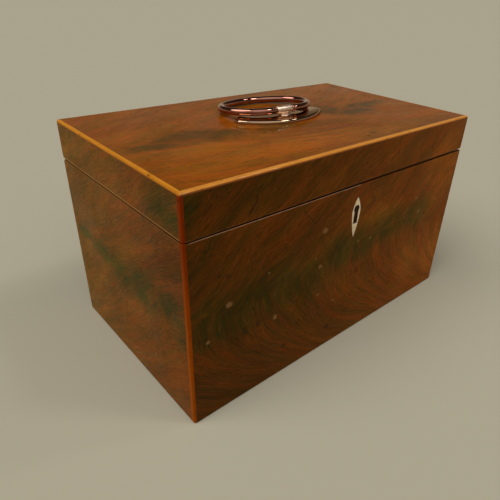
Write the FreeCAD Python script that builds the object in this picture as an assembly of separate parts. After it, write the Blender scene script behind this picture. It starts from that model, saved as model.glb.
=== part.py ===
"""Rectangular veneered tea caddy: a hinged, locking box with two lidded tea compartments.

Millimetres. The origin is the middle of the underside, +X runs to the right along the front,
+Y runs from the front to the back and +Z is up. The lid is closed and the ring handle lies back.
"""

import FreeCAD, Part
import math
import os

# Outside of the box
CASE_WIDTH = 200.0
CASE_DEPTH = 116.5
CASE_HEIGHT = 96.2  # underside to rim, at the left end
LID_HEIGHT = 20.0  # lower edge of the lid to its top
SEAM_GAP = 0.4  # between rim and lid, at the left end
RIM_DROP = 0.8  # how much lower the worn rim is at its right end
EDGE_ROUND = 1.3  # rounding of the upright and top edges
FOOT_EASE = 0.5  # rounding of the bottom edges
SEAM_EASE = 0.35  # rounding of the edges along the seam

# Boards, veneer and edge strings
BOARD = 8.0
VENEER = 1.0
BASE_BOARD = 7.0
TOP_BOARD = 6.5
CORNER_TONGUE = 3.0  # what is left of the front and back boards beyond the side boards' ends
BASE_LAP = 4.0  # how far the base board is let into the four walls
STRING = 1.2  # thickness of the edge strings
FRONT_STRING = 2.2  # width of the lid's front string, on the top
END_STRING = 1.5  # width of the lid's end strings, on the top
CORNER_STRING = 2.5  # width of the front corner strings, on the ends

# Tea compartments
PARTITION = 6.0
PARTITION_HOUSING = 2.0  # depth of its grooves in the front and back boards
FOIL = 0.4
LEDGE_WIDTH = 5.0
LEDGE_HEIGHT = 6.0
INNER_LID_DEPTH = 12.0  # rim to the top of the inner lids
INNER_LID = 5.0  # their thickness
INNER_LID_PLAY = 0.5  # clearance all round an inner lid
KNOB_HEIGHT = 9.5
KNOB_RADIUS = 6.0
KNOB_CROWN_RISE = 0.8  # of the domed top
KNOB_CROWN_RADIUS = 4.4  # edge of the domed top
KNOB_BRIM = 6.4  # height of the widest part
KNOB_NECK = 4.2  # height where the neck meets the head
KNOB_NECK_RADIUS = 2.4
KNOB_HEAD_RADIUS = 3.6  # where the neck meets the head
KNOB_FOOT = 1.1
KNOB_FOOT_RADIUS = 4.2
KNOB_STEM_RADIUS = 2.0
LID_LINING = 0.6

# Hinges
HINGE_LENGTH = 25.0
HINGE_INSET = 40.0  # end of the box to the middle of a hinge
BARREL_RADIUS = 2.4
BARREL_PLAY = 0.3  # clearance round a barrel in the wood and beside the other leaf
HINGE_PIN_RADIUS = 1.1
RUNNING_CLEARANCE = 0.05
LEAF_WIDTH = 6.0  # from the pin's axis
LEAF = 1.3
LEAF_GAP = 0.2  # between the closed leaves
KNUCKLE_GAP = 0.2
STOP_BEVEL = 50.0  # degrees; the two bevelled back edges meet when the lid has turned twice this
HINGE_SCREW_SPREAD = 16.0

# Countersunk wood screws
SCREW_HEAD_RADIUS = 1.7
SCREW_SHANK_RADIUS = 0.9
SCREW_LENGTH = 6.0
SCREW_SLOT_WIDTH = 0.5
SCREW_SLOT_DEPTH = 0.5

# Lock in the front wall, and its link plate in the lid
LOCK_X = 1.6
LOCK_WIDTH = 44.0
LOCK_HEIGHT = 22.4
LOCK_PLATE = 1.2
LOCK_WORKS_WIDTH = 32.0
LOCK_SKIN = 1.2  # wood left in front of the works
LOCK_CAP = 0.8
LOCK_SET_DOWN = 0.1  # lock top below the rim
LOCK_PLAY = 0.2  # running clearance of the bolt
BOLT_HEIGHT = 5.0
BOLT_LENGTH = 20.0
BOLT_THROW = 5.0
BOLT_NOSE_HEIGHT = 2.6
PILLAR_RADIUS = 1.2
PILLAR_INSET = 2.2  # pillar axis to the edge of the works
SPRING_STRIP = 0.5
KEY_PIN_RADIUS = 1.1
LINK_WIDTH = 30.0
STAPLE_THICKNESS = 2.0  # along the bolt
STAPLE_LEG = 0.9  # each side of the eye
STAPLE_DROP = 8.0  # how far the staple hangs below the lid
STAPLE_PLAY = 0.6  # room round the staple in the lock

# Keyhole and its pointed escutcheon
KEYHOLE_RADIUS = 2.1
KEYHOLE_DEPTH = 13.7  # rim to the middle of the round part
KEYHOLE_DROP = 8.3  # middle of the round part to the foot of the slot
KEYHOLE_SLOT = 3.1
ESCUTCHEON = 0.5
ESCUTCHEON_WIDTH = 6.4
ESCUTCHEON_TOP = 7.1  # rim to the upper point
ESCUTCHEON_SHOULDER = 15.2  # rim to the widest place
ESCUTCHEON_FOOT = 30.0  # rim to the lower point
ESCUTCHEON_UPPER_SWELL = 0.55  # how far the upper sides swell out from a straight line
ESCUTCHEON_LOWER_SWELL = 0.55

# Ring handle on the lid
PLATE_HALF_WIDTH = 28.9
PLATE_HALF_DEPTH = 13.6
PLATE_END_RADIUS = 4.0
PLATE_Y = 0.8
PLATE = 2.1
PLATE_ROUND = 1.3
LUG_Y = -2.0
HANDLE_YAW = -4.2  # degrees; the handle was put on a little askew
HANDLE_AXIS = 4.75  # lid top to the middle of the lug's barrel
LUG_LENGTH = 10.0
LUG_RADIUS = 2.1
LUG_NECK_WIDTH = 4.6
LUG_NECK_DEPTH = 2.6
LUG_FOOT_RADIUS = 3.2
LUG_FOOT = 0.4
STEM_RADIUS = 1.75
NUT_SIDE = 7.0
NUT = 2.4
NUT_PLAY = 0.3
LOOP_WIRE_RADIUS = 1.9
LOOP_HALF_WIDTH = 26.6
LOOP_HALF_DEPTH = 17.7
LOOP_SIDE_RADIUS = 13.4
LOOP_STUB = 2.75  # straight end of the wire beside the lug, which holds the pin
LOOP_END_GAP = 0.25
LOOP_REST_GAP = 0.25  # between the lid and the back of the loop at rest
HANDLE_PIN_RADIUS = 0.9

# Places that follow from the sizes above
HALF_W = CASE_WIDTH / 2
HALF_D = CASE_DEPTH / 2
CARCASS_W = HALF_W - VENEER
CARCASS_D = HALF_D - VENEER
INNER_W = CARCASS_W - BOARD
INNER_D = CARCASS_D - BOARD
LID_FOOT = CASE_HEIGHT + SEAM_GAP
LID_TOP = LID_FOOT + LID_HEIGHT
LID_CEILING = LID_TOP - VENEER - TOP_BOARD
AXIS_Y = HALF_D - BARREL_RADIUS
AXIS_Z = CASE_HEIGHT + SEAM_GAP / 2
INNER_LID_TOP = CASE_HEIGHT - INNER_LID_DEPTH
LEDGE_TOP = INNER_LID_TOP - INNER_LID
LEDGE_FOOT = LEDGE_TOP - LEDGE_HEIGHT
LOCK_LEFT = LOCK_X - LOCK_WIDTH / 2
LOCK_RIGHT = LOCK_X + LOCK_WIDTH / 2
WORKS_LEFT = LOCK_X - LOCK_WORKS_WIDTH / 2
WORKS_RIGHT = LOCK_X + LOCK_WORKS_WIDTH / 2
LOCK_TOP = CASE_HEIGHT - RIM_DROP * (LOCK_RIGHT + HALF_W) / CASE_WIDTH - LOCK_SET_DOWN
LOCK_FOOT = LOCK_TOP - LOCK_HEIGHT
LOCK_FRONT = -CARCASS_D + LOCK_SKIN
LOCK_BACK = -INNER_D
WORKS_FRONT = LOCK_FRONT + LOCK_CAP
WORKS_BACK = LOCK_BACK - LOCK_PLATE
WORKS_Y = (WORKS_FRONT + WORKS_BACK) / 2
BOLT_TOP = LOCK_TOP - LOCK_PLATE - LOCK_PLAY
BOLT_FOOT = BOLT_TOP - BOLT_HEIGHT
STAPLE_FOOT = LID_FOOT - STAPLE_DROP
STAPLE_RIGHT = WORKS_RIGHT - PILLAR_INSET - PILLAR_RADIUS - STAPLE_PLAY
STAPLE_LEFT = STAPLE_RIGHT - STAPLE_THICKNESS
STAPLE_HALF = (WORKS_BACK - WORKS_FRONT) / 2 - STAPLE_PLAY
EYE_HALF = STAPLE_HALF - STAPLE_LEG
BOLT_NOSE_Z = BOLT_FOOT + BOLT_HEIGHT / 2
KEYHOLE_Z = CASE_HEIGHT - KEYHOLE_DEPTH
LOOP_TILT = math.degrees(
    math.asin((HANDLE_AXIS - LOOP_WIRE_RADIUS - LOOP_REST_GAP) / (2 * LOOP_HALF_DEPTH))
)
THROUGH = 5.0  # how far a cutting tool runs past the faces that it cuts

X_AXIS = FreeCAD.Vector(1, 0, 0)
Y_AXIS = FreeCAD.Vector(0, 1, 0)
Z_AXIS = FreeCAD.Vector(0, 0, 1)
ORIGIN = FreeCAD.Vector(0, 0, 0)


def point(x, y, z=0.0):
    return FreeCAD.Vector(x, y, z)


def block(x0, x1, y0, y1, z0, z1):
    """A box between two corners."""
    return Part.makeBox(x1 - x0, y1 - y0, z1 - z0, point(x0, y0, z0))


def rod(radius, start, axis, length):
    """A cylinder from a point along an axis."""
    return Part.makeCylinder(radius, length, start, axis)


def prism(outline, along):
    """The closed outline through these points, extruded along a vector."""
    wire = Part.makePolygon(outline + [outline[0]])
    return Part.Face(wire).extrude(along)


def edges_where(shape, test):
    """The edges whose box passes the test."""
    return [edge for edge in shape.Edges if test(edge.BoundBox)]


def is_upright(box):
    return box.ZLength > box.XLength and box.ZLength > box.YLength


def lies_within(box, low, high):
    return box.ZMin > low and box.ZMax < high


def mirrored(shape):
    """The same piece on the other side of the box's middle."""
    return shape.mirror(ORIGIN, X_AXIS)


def corner_arc(centre, start, end):
    """The shorter arc about a centre from one point to another."""
    radius = (start - centre).Length
    middle = (start - centre) + (end - centre)
    return Part.Arc(start, centre + middle.normalize() * radius, end).toShape()


def swollen_arc(start, end, swell):
    """An arc in the front face that swells to the right of the way from one point down to another."""
    outwards = (end - start).cross(Y_AXIS).normalize()
    return Part.Arc(start, (start + end) * 0.5 + outwards * swell, end).toShape()


def case_envelope():
    """The whole case as one rounded block, with its sloping rim and bevelled back edge."""
    outline = [
        point(-HALF_W, -HALF_D, 0),
        point(HALF_W, -HALF_D, 0),
        point(HALF_W, -HALF_D, CASE_HEIGHT - RIM_DROP),
        point(-HALF_W, -HALF_D, CASE_HEIGHT),
    ]
    body = prism(outline, Y_AXIS * CASE_DEPTH)
    body = body.makeFillet(EDGE_ROUND, edges_where(body, is_upright))
    foot = edges_where(body, lambda box: lies_within(box, -FOOT_EASE, FOOT_EASE))
    body = body.makeFillet(FOOT_EASE, foot)
    lowest_rim = CASE_HEIGHT - RIM_DROP - SEAM_EASE
    rim = edges_where(body, lambda box: lies_within(box, lowest_rim, CASE_HEIGHT + SEAM_EASE))
    body = body.makeFillet(SEAM_EASE, rim)
    return body.cut(stop_bevel(upwards=True))


def lid_envelope():
    """The whole lid as one rounded block with its bevelled back edge."""
    body = block(-HALF_W, HALF_W, -HALF_D, HALF_D, LID_FOOT, LID_TOP)
    rounded = edges_where(body, lambda box: box.ZMax > LID_FOOT + LID_HEIGHT / 2)
    body = body.makeFillet(EDGE_ROUND, rounded)
    foot = edges_where(body, lambda box: lies_within(box, LID_FOOT - SEAM_EASE, LID_FOOT + SEAM_EASE))
    body = body.makeFillet(SEAM_EASE, foot)
    return body.cut(stop_bevel(upwards=False))


def stop_bevel(upwards):
    """The wedge planed off a back edge, from the hinge axis outwards."""
    reach = BARREL_RADIUS + THROUGH
    rise = reach * math.tan(math.radians(STOP_BEVEL))
    sign = -1 if upwards else 1
    outline = [
        point(-HALF_W - THROUGH, AXIS_Y, AXIS_Z),
        point(-HALF_W - THROUGH, AXIS_Y + reach, AXIS_Z + sign * rise),
        point(-HALF_W - THROUGH, AXIS_Y + reach, AXIS_Z - sign * rise),
        point(-HALF_W - THROUGH, AXIS_Y, AXIS_Z - sign * rise),
    ]
    return prism(outline, X_AXIS * (CASE_WIDTH + 2 * THROUGH))


def wall_boards(foot, head):
    """Front, back, left and right boards between two heights, lapped at the corners."""
    front = block(-CARCASS_W, CARCASS_W, -CARCASS_D, -INNER_D, foot, head)
    side_reach = CARCASS_D - CORNER_TONGUE
    left = block(-CARCASS_W, -INNER_W, -side_reach, side_reach, foot, head)
    right = mirrored(left)
    front = front.cut(left).cut(right)
    back = front.mirror(ORIGIN, Y_AXIS)
    return {"front": front, "back": back, "left": left, "right": right}


def wall_veneers(foot, head):
    """Front, back, left and right veneers between two heights, clear of the front corner strings."""
    front = block(-HALF_W + STRING, HALF_W - STRING, -HALF_D, -CARCASS_D, foot, head)
    back = block(-CARCASS_W, CARCASS_W, CARCASS_D, HALF_D, foot, head)
    left = block(-HALF_W, -CARCASS_W, -HALF_D + CORNER_STRING, HALF_D, foot, head)
    return {"front": front, "back": back, "left": left, "right": mirrored(left)}


def corner_string(foot, head):
    """The string in the front left corner between two heights."""
    return block(-HALF_W, -HALF_W + STRING, -HALF_D, -HALF_D + CORNER_STRING, foot, head)


def top_strings():
    """The strings round the lid's top, mitred at the front corners."""
    inner_w = HALF_W - END_STRING
    inner_d = HALF_D - FRONT_STRING
    foot = LID_TOP - STRING
    front = prism(
        [
            point(-HALF_W, -HALF_D, foot),
            point(HALF_W, -HALF_D, foot),
            point(inner_w, -inner_d, foot),
            point(-inner_w, -inner_d, foot),
        ],
        Z_AXIS * STRING,
    )
    left = prism(
        [
            point(-HALF_W, -HALF_D, foot),
            point(-inner_w, -inner_d, foot),
            point(-inner_w, HALF_D, foot),
            point(-HALF_W, HALF_D, foot),
        ],
        Z_AXIS * STRING,
    )
    return {"front": front, "left": left, "right": mirrored(left)}


def screw_blank():
    """A countersunk screw without its slot, head up at the origin, pointing down."""
    taper = SCREW_HEAD_RADIUS - SCREW_SHANK_RADIUS
    outline = [
        point(0, 0, 0),
        point(SCREW_HEAD_RADIUS, 0, 0),
        point(SCREW_SHANK_RADIUS, 0, -taper),
        point(SCREW_SHANK_RADIUS, 0, -SCREW_LENGTH + 2 * SCREW_SHANK_RADIUS),
        point(0, 0, -SCREW_LENGTH),
    ]
    wire = Part.makePolygon(outline + [outline[0]])
    return Part.Face(wire).revolve(ORIGIN, Z_AXIS, 360)


def screw_slot():
    return block(
        -SCREW_HEAD_RADIUS - 1,
        SCREW_HEAD_RADIUS + 1,
        -SCREW_SLOT_WIDTH / 2,
        SCREW_SLOT_WIDTH / 2,
        -SCREW_SLOT_DEPTH,
        1,
    )


def screw_set(places, direction):
    """Screws driven in a direction at several places: the finished screws and the holes that they fill."""
    turn = FreeCAD.Rotation(point(0, 0, -1), direction)
    screws = []
    holes = []
    for place in places:
        here = FreeCAD.Placement(place, turn)
        blank = screw_blank()
        slotted = blank.cut(screw_slot())
        blank.Placement = here
        slotted.Placement = here
        screws.append(slotted)
        holes.append(blank)
    return Part.makeCompound(screws), Part.makeCompound(holes)


def hinge_knuckles(start, low_z, high_z, own, other):
    """One leaf: a plate between two heights with its own knuckles, cut clear of the other leaf's."""
    plate = block(start, start + HINGE_LENGTH, AXIS_Y - LEAF_WIDTH, AXIS_Y, low_z, high_z)
    for x0, x1 in other:
        room = rod(BARREL_RADIUS + BARREL_PLAY, point(x0, AXIS_Y, AXIS_Z), X_AXIS, x1 - x0)
        plate = plate.cut(room)
    for x0, x1 in own:
        plate = plate.fuse(rod(BARREL_RADIUS, point(x0, AXIS_Y, AXIS_Z), X_AXIS, x1 - x0))
    return plate.removeSplitter()


def hinge(middle):
    """One butt hinge: two leaves, a pin and the screws, with the room that it needs in the wood."""
    start = middle - HINGE_LENGTH / 2
    third = HINGE_LENGTH / 3
    ends = [start, start + third, start + 2 * third, start + HINGE_LENGTH]
    outer = [(ends[0], ends[1] - KNUCKLE_GAP / 2), (ends[2] + KNUCKLE_GAP / 2, ends[3])]
    inner = [(ends[1] + KNUCKLE_GAP / 2, ends[2] - KNUCKLE_GAP / 2)]
    outer_room = [(ends[0], ends[1] + KNUCKLE_GAP / 2), (ends[2] - KNUCKLE_GAP / 2, ends[3])]
    inner_room = [(ends[1] - KNUCKLE_GAP / 2, ends[2] + KNUCKLE_GAP / 2)]
    case_face = AXIS_Z - LEAF_GAP / 2
    lid_face = AXIS_Z + LEAF_GAP / 2
    case_leaf = hinge_knuckles(start, case_face - LEAF, case_face, outer, inner_room)
    lid_leaf = hinge_knuckles(start, lid_face, lid_face + LEAF, inner, outer_room)

    pin_start = point(start, AXIS_Y, AXIS_Z)
    pin = rod(HINGE_PIN_RADIUS, pin_start, X_AXIS, HINGE_LENGTH)
    running_bore = rod(HINGE_PIN_RADIUS + RUNNING_CLEARANCE, pin_start, X_AXIS, HINGE_LENGTH)
    case_leaf = case_leaf.cut(pin)
    lid_leaf = lid_leaf.cut(running_bore)

    screw_y = AXIS_Y - (LEAF_WIDTH + BARREL_RADIUS) / 2
    offsets = (-HINGE_SCREW_SPREAD / 2, HINGE_SCREW_SPREAD / 2)
    case_places = [point(middle + offset, screw_y, case_face) for offset in offsets]
    lid_places = [point(middle + offset, screw_y, lid_face) for offset in offsets]
    case_screws, case_holes = screw_set(case_places, point(0, 0, -1))
    lid_screws, lid_holes = screw_set(lid_places, point(0, 0, 1))

    barrel_room = rod(
        BARREL_RADIUS + BARREL_PLAY,
        point(start - BARREL_PLAY, AXIS_Y, AXIS_Z),
        X_AXIS,
        HINGE_LENGTH + 2 * BARREL_PLAY,
    )
    back = AXIS_Y - LEAF_WIDTH
    case_seat = block(start, start + HINGE_LENGTH, back, AXIS_Y, case_face - LEAF, CASE_HEIGHT + 1)
    lid_seat = block(start, start + HINGE_LENGTH, back, AXIS_Y, LID_FOOT - 1, lid_face + LEAF)
    return {
        "case_leaf": case_leaf.cut(case_holes),
        "lid_leaf": lid_leaf.cut(lid_holes),
        "pin": pin,
        "case_screws": case_screws,
        "lid_screws": lid_screws,
        "case_room": [case_seat, barrel_room, case_holes],
        "lid_room": [lid_seat, barrel_room, lid_holes],
    }


def keyhole():
    """The keyhole's section, run through the front wall as far as the works."""
    start = -HALF_D - THROUGH
    length = WORKS_FRONT - start
    round_part = rod(KEYHOLE_RADIUS, point(LOCK_X, start, KEYHOLE_Z), Y_AXIS, length)
    half = KEYHOLE_SLOT / 2
    slot = block(LOCK_X - half, LOCK_X + half, start, start + length, KEYHOLE_Z - KEYHOLE_DROP, KEYHOLE_Z)
    return round_part.fuse(slot).removeSplitter()


def escutcheon_blank():
    """The pointed escutcheon let into the front veneer, widest above its middle."""
    tip = point(0, -HALF_D, CASE_HEIGHT - ESCUTCHEON_TOP)
    shoulder = point(ESCUTCHEON_WIDTH / 2, -HALF_D, CASE_HEIGHT - ESCUTCHEON_SHOULDER)
    foot = point(0, -HALF_D, CASE_HEIGHT - ESCUTCHEON_FOOT)
    right = [
        swollen_arc(tip, shoulder, ESCUTCHEON_UPPER_SWELL),
        swollen_arc(shoulder, foot, ESCUTCHEON_LOWER_SWELL),
    ]
    left = [mirrored(arc) for arc in right]
    outline = Part.Wire(Part.sortEdges(right + left)[0])
    blank = Part.Face(outline).extrude(Y_AXIS * ESCUTCHEON)
    blank.translate(point(LOCK_X, 0, 0))
    return blank


def lock():
    """The lock in the front wall, the link plate over it, and the room that both need in the wood."""
    back_plate = block(LOCK_LEFT, LOCK_RIGHT, WORKS_BACK, LOCK_BACK, LOCK_FOOT, LOCK_TOP)
    top_plate = block(LOCK_LEFT, LOCK_RIGHT, LOCK_FRONT, LOCK_BACK, LOCK_TOP - LOCK_PLATE, LOCK_TOP)
    staple_slot = block(
        STAPLE_LEFT - STAPLE_PLAY,
        STAPLE_RIGHT + STAPLE_PLAY,
        WORKS_FRONT,
        WORKS_BACK,
        LOCK_TOP - LOCK_PLATE - 1,
        LOCK_TOP + 1,
    )
    plate = back_plate.fuse(top_plate).removeSplitter().cut(staple_slot)

    works = block(
        WORKS_LEFT, WORKS_RIGHT, LOCK_FRONT, WORKS_BACK, LOCK_FOOT + LOCK_PLATE, LOCK_TOP - LOCK_PLATE
    )
    rim_room = block(LOCK_LEFT, LOCK_RIGHT, LOCK_FRONT, LOCK_BACK, LOCK_TOP, CASE_HEIGHT + THROUGH)
    cap = block(
        WORKS_LEFT, WORKS_RIGHT, LOCK_FRONT, WORKS_FRONT, LOCK_FOOT + LOCK_PLATE, LOCK_TOP - LOCK_PLATE
    )

    pillar_low = LOCK_FOOT + LOCK_PLATE + PILLAR_INSET
    pillar_high = BOLT_FOOT - LOCK_PLAY - PILLAR_RADIUS
    pillar_places = [
        (x, z)
        for x in (WORKS_LEFT + PILLAR_INSET, WORKS_RIGHT - PILLAR_INSET)
        for z in (pillar_low, pillar_high)
    ]
    pillars = [
        rod(PILLAR_RADIUS, point(x, WORKS_FRONT, z), Y_AXIS, WORKS_BACK - WORKS_FRONT)
        for x, z in pillar_places
    ]
    key_pin = rod(KEY_PIN_RADIUS, point(LOCK_X, WORKS_FRONT, KEYHOLE_Z), Y_AXIS, WORKS_BACK - WORKS_FRONT)

    screw_inset = (LOCK_WIDTH - LOCK_WORKS_WIDTH) / 4
    screw_places = [
        point(x, LOCK_BACK, z)
        for x in (LOCK_LEFT + screw_inset, LOCK_RIGHT - screw_inset)
        for z in (LOCK_FOOT + screw_inset, LOCK_TOP - LOCK_PLATE - screw_inset)
    ]
    screws, screw_holes = screw_set(screw_places, point(0, -1, 0))

    link, link_screws, link_room = link_plate()
    return {
        "plate": plate.cut(screw_holes),
        "cap": cap.cut(keyhole()),
        "bolt": lock_bolt(),
        "spring": lock_spring(pillar_high),
        "pillars": Part.makeCompound(pillars),
        "key_pin": key_pin,
        "screws": screws,
        "link": link,
        "link_screws": link_screws,
        "case_room": [back_plate, top_plate, works, rim_room, screw_holes],
        "lid_room": link_room,
    }


def lock_bolt():
    """The sliding bolt, drawn back, with its nose beside the staple and a notch for the key."""
    depth = WORKS_BACK - WORKS_FRONT - 2 * LOCK_PLAY
    nose_tip = STAPLE_LEFT - STAPLE_PLAY
    shoulder = nose_tip - BOLT_THROW
    tail = nose_tip - BOLT_LENGTH
    front = WORKS_Y - depth / 2
    bar = block(tail, shoulder, front, front + depth, BOLT_FOOT, BOLT_TOP)
    nose_low = BOLT_NOSE_Z - BOLT_NOSE_HEIGHT / 2
    nose_half = EYE_HALF - LOCK_PLAY
    nose = block(
        shoulder, nose_tip, WORKS_Y - nose_half, WORKS_Y + nose_half, nose_low, nose_low + BOLT_NOSE_HEIGHT
    )
    notch = rod(BOLT_THROW / 2, point(LOCK_X, front - 1, BOLT_FOOT), Y_AXIS, depth + 2)
    return bar.fuse(nose).removeSplitter().cut(notch)


def lock_spring(pillar_z):
    """A bent strip on the left pillar that presses the bolt up."""
    left = WORKS_LEFT + PILLAR_INSET
    depth = (WORKS_BACK - WORKS_FRONT) / 2
    seat = pillar_z + PILLAR_RADIUS
    rise = BOLT_FOOT - LOCK_PLAY / 2 - SPRING_STRIP - seat
    reach = LOCK_X - BOLT_THROW - left
    outline = [
        point(left, WORKS_Y - depth / 2, seat - 2 * SPRING_STRIP),
        point(left + reach, WORKS_Y - depth / 2, seat + rise),
        point(left + reach, WORKS_Y - depth / 2, seat + rise + SPRING_STRIP),
        point(left, WORKS_Y - depth / 2, seat - SPRING_STRIP),
    ]
    strip = prism(outline, Y_AXIS * depth)
    pillar = rod(PILLAR_RADIUS, point(left, WORKS_FRONT, pillar_z), Y_AXIS, WORKS_BACK - WORKS_FRONT)
    return strip.cut(pillar)


def link_plate():
    """The plate let into the lid's front rail, with the staple that the bolt enters."""
    plate = block(
        LOCK_X - LINK_WIDTH / 2, LOCK_X + LINK_WIDTH / 2, LOCK_FRONT, LOCK_BACK, LID_FOOT, LID_FOOT + LOCK_PLATE
    )
    staple = block(
        STAPLE_LEFT, STAPLE_RIGHT, WORKS_Y - STAPLE_HALF, WORKS_Y + STAPLE_HALF, STAPLE_FOOT, LID_FOOT
    )
    eye_low = BOLT_NOSE_Z - BOLT_NOSE_HEIGHT / 2 - LOCK_PLAY
    eye_high = eye_low + BOLT_NOSE_HEIGHT + 2 * LOCK_PLAY
    eye = block(
        STAPLE_LEFT - 1, STAPLE_RIGHT + 1, WORKS_Y - EYE_HALF, WORKS_Y + EYE_HALF, eye_low, eye_high
    )
    inset = 2 * SCREW_HEAD_RADIUS
    places = [
        point(LOCK_X + side * (LINK_WIDTH / 2 - inset), WORKS_Y, LID_FOOT) for side in (-1, 1)
    ]
    screws, holes = screw_set(places, point(0, 0, 1))
    return plate.fuse(staple).removeSplitter().cut(eye).cut(holes), screws, [plate, holes]


def partition():
    """The division between the two compartments, housed in the walls and clear of the lock."""
    reach = INNER_D + PARTITION_HOUSING
    body = block(-PARTITION / 2, PARTITION / 2, -reach, reach, BASE_BOARD, INNER_LID_TOP)
    lock_zone = block(
        LOCK_LEFT, LOCK_RIGHT, -reach - 1, -INNER_D + LOCK_PLAY, LOCK_FOOT - LOCK_PLAY, LOCK_TOP
    )
    return body.cut(lock_zone)


def compartment():
    """The right-hand compartment's foil lining and its two ledges."""
    outside = block(PARTITION / 2, INNER_W, -INNER_D, INNER_D, BASE_BOARD, LEDGE_FOOT)
    inside = block(
        PARTITION / 2 + FOIL, INNER_W - FOIL, -INNER_D + FOIL, INNER_D - FOIL, BASE_BOARD + FOIL, LEDGE_FOOT + 1
    )
    back_ledge = block(PARTITION / 2, INNER_W, INNER_D - LEDGE_WIDTH, INNER_D, LEDGE_FOOT, LEDGE_TOP)
    front_start = LOCK_WIDTH / 2 + abs(LOCK_X) + LOCK_PLAY
    front_ledge = block(front_start, INNER_W, -INNER_D, -INNER_D + LEDGE_WIDTH, LEDGE_FOOT, LEDGE_TOP)
    return {"foil": outside.cut(inside), "back_ledge": back_ledge, "front_ledge": front_ledge}


def inner_lid():
    """The right-hand compartment's loose lid and its turned knob."""
    play = INNER_LID_PLAY
    panel = block(
        PARTITION / 2 + play, INNER_W - play, -INNER_D + play, INNER_D - play, LEDGE_TOP, INNER_LID_TOP
    )
    middle = point((PARTITION / 2 + INNER_W) / 2, 0, INNER_LID_TOP)
    knob = turned_knob()
    knob.translate(middle)
    return {"panel": panel.cut(knob), "knob": knob}


def turned_knob():
    """A mushroom knob on a stem through the panel, standing on the plane z = 0."""
    foot = point(KNOB_FOOT_RADIUS, 0, KNOB_FOOT)
    head = point(KNOB_HEAD_RADIUS, 0, KNOB_NECK)
    shoulder = point(KNOB_CROWN_RADIUS, 0, KNOB_HEIGHT - KNOB_CROWN_RISE)
    top = point(0, 0, KNOB_HEIGHT)
    sphere = (KNOB_CROWN_RISE**2 + KNOB_CROWN_RADIUS**2) / (2 * KNOB_CROWN_RISE)
    drop = sphere - math.sqrt(sphere**2 - KNOB_CROWN_RADIUS**2 / 4)
    neck = Part.Arc(foot, point(KNOB_NECK_RADIUS, 0, (KNOB_FOOT + KNOB_NECK) / 2), head)
    brow = Part.Arc(head, point(KNOB_RADIUS, 0, KNOB_BRIM), shoulder)
    crown = Part.Arc(shoulder, point(KNOB_CROWN_RADIUS / 2, 0, KNOB_HEIGHT - drop), top)
    stem = Part.makePolygon(
        [
            top,
            point(0, 0, -INNER_LID),
            point(KNOB_STEM_RADIUS, 0, -INNER_LID),
            point(KNOB_STEM_RADIUS, 0, 0),
            point(KNOB_FOOT_RADIUS, 0, 0),
            foot,
        ]
    )
    outline = Part.Wire(stem.Edges + [neck.toShape(), brow.toShape(), crown.toShape()])
    return Part.Face(outline).revolve(ORIGIN, Z_AXIS, 360)


def oval_half(half_width, half_depth, end_radius, straight):
    """The right half of an oval that starts at the origin, heading +X, and ends straight behind it.

    The front has a straight run on each side of the middle; the sides and back are tangent arcs.
    """
    side = point(half_width - end_radius, half_depth)
    spare = half_depth**2 - end_radius**2
    front_radius = ((side.x - straight) ** 2 + spare) / (2 * (half_depth - end_radius))
    back_radius = (side.x**2 + spare) / (2 * (half_depth - end_radius))
    front = point(straight, front_radius)
    back = point(0, 2 * half_depth - back_radius)
    front_join = front + (side - front).normalize() * front_radius
    back_join = back + (side - back).normalize() * back_radius
    far = point(0, 2 * half_depth)
    arcs = [
        corner_arc(front, point(straight, 0), front_join),
        corner_arc(side, front_join, back_join),
        corner_arc(back, back_join, far),
    ]
    return arcs


def handle_frame(shape, tilt=0.0):
    """Puts a shape modelled about the lug's axis on the lid, tilted about that axis."""
    shape.rotate(ORIGIN, X_AXIS, -tilt)
    shape.rotate(ORIGIN, Z_AXIS, HANDLE_YAW)
    shape.translate(point(0, LUG_Y, LID_TOP + HANDLE_AXIS))
    return shape


def handle_plate():
    """The pointed oval plate under the handle, with a rounded top edge."""
    right = oval_half(PLATE_HALF_WIDTH, PLATE_HALF_DEPTH, PLATE_END_RADIUS, 0.0)
    left = [mirrored(arc) for arc in right]
    outline = Part.Wire(Part.sortEdges(right + left)[0])
    plate = Part.Face(outline).extrude(Z_AXIS * PLATE)
    upper = edges_where(plate, lambda box: box.ZMin > PLATE / 2)
    plate = plate.makeFillet(PLATE_ROUND, upper)
    plate.translate(point(0, -PLATE_HALF_DEPTH, LID_TOP))
    plate.rotate(ORIGIN, Z_AXIS, HANDLE_YAW)
    plate.translate(point(0, PLATE_Y, 0))
    return plate


def handle_lug():
    """The barrel that carries the loop, its neck and foot, and the stem that goes through the lid."""
    plate_top = PLATE - HANDLE_AXIS
    half = LUG_LENGTH / 2
    barrel = rod(LUG_RADIUS, point(-half, 0, 0), X_AXIS, LUG_LENGTH)
    neck = block(
        -LUG_NECK_WIDTH / 2, LUG_NECK_WIDTH / 2, -LUG_NECK_DEPTH / 2, LUG_NECK_DEPTH / 2, plate_top, 0
    )
    foot = rod(LUG_FOOT_RADIUS, point(0, 0, plate_top), Z_AXIS, LUG_FOOT)
    stem_end = LID_CEILING - LID_TOP - HANDLE_AXIS
    stem = rod(STEM_RADIUS, point(0, 0, stem_end), Z_AXIS, plate_top - stem_end)
    bore = rod(
        HANDLE_PIN_RADIUS + RUNNING_CLEARANCE, point(-half - 1, 0, 0), X_AXIS, LUG_LENGTH + 2
    )
    lug = barrel.fuse([neck, foot, stem]).removeSplitter().cut(bore)
    return handle_frame(lug)


def handle_nut():
    """The square nut on the stem, let into the lid from below."""
    half = NUT_SIDE / 2
    foot = LID_CEILING - LID_TOP - HANDLE_AXIS
    nut = block(-half, half, -half, half, foot, foot + NUT)
    nut = nut.cut(rod(STEM_RADIUS, point(0, 0, foot - 1), Z_AXIS, NUT + 2))
    return handle_frame(nut)


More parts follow.
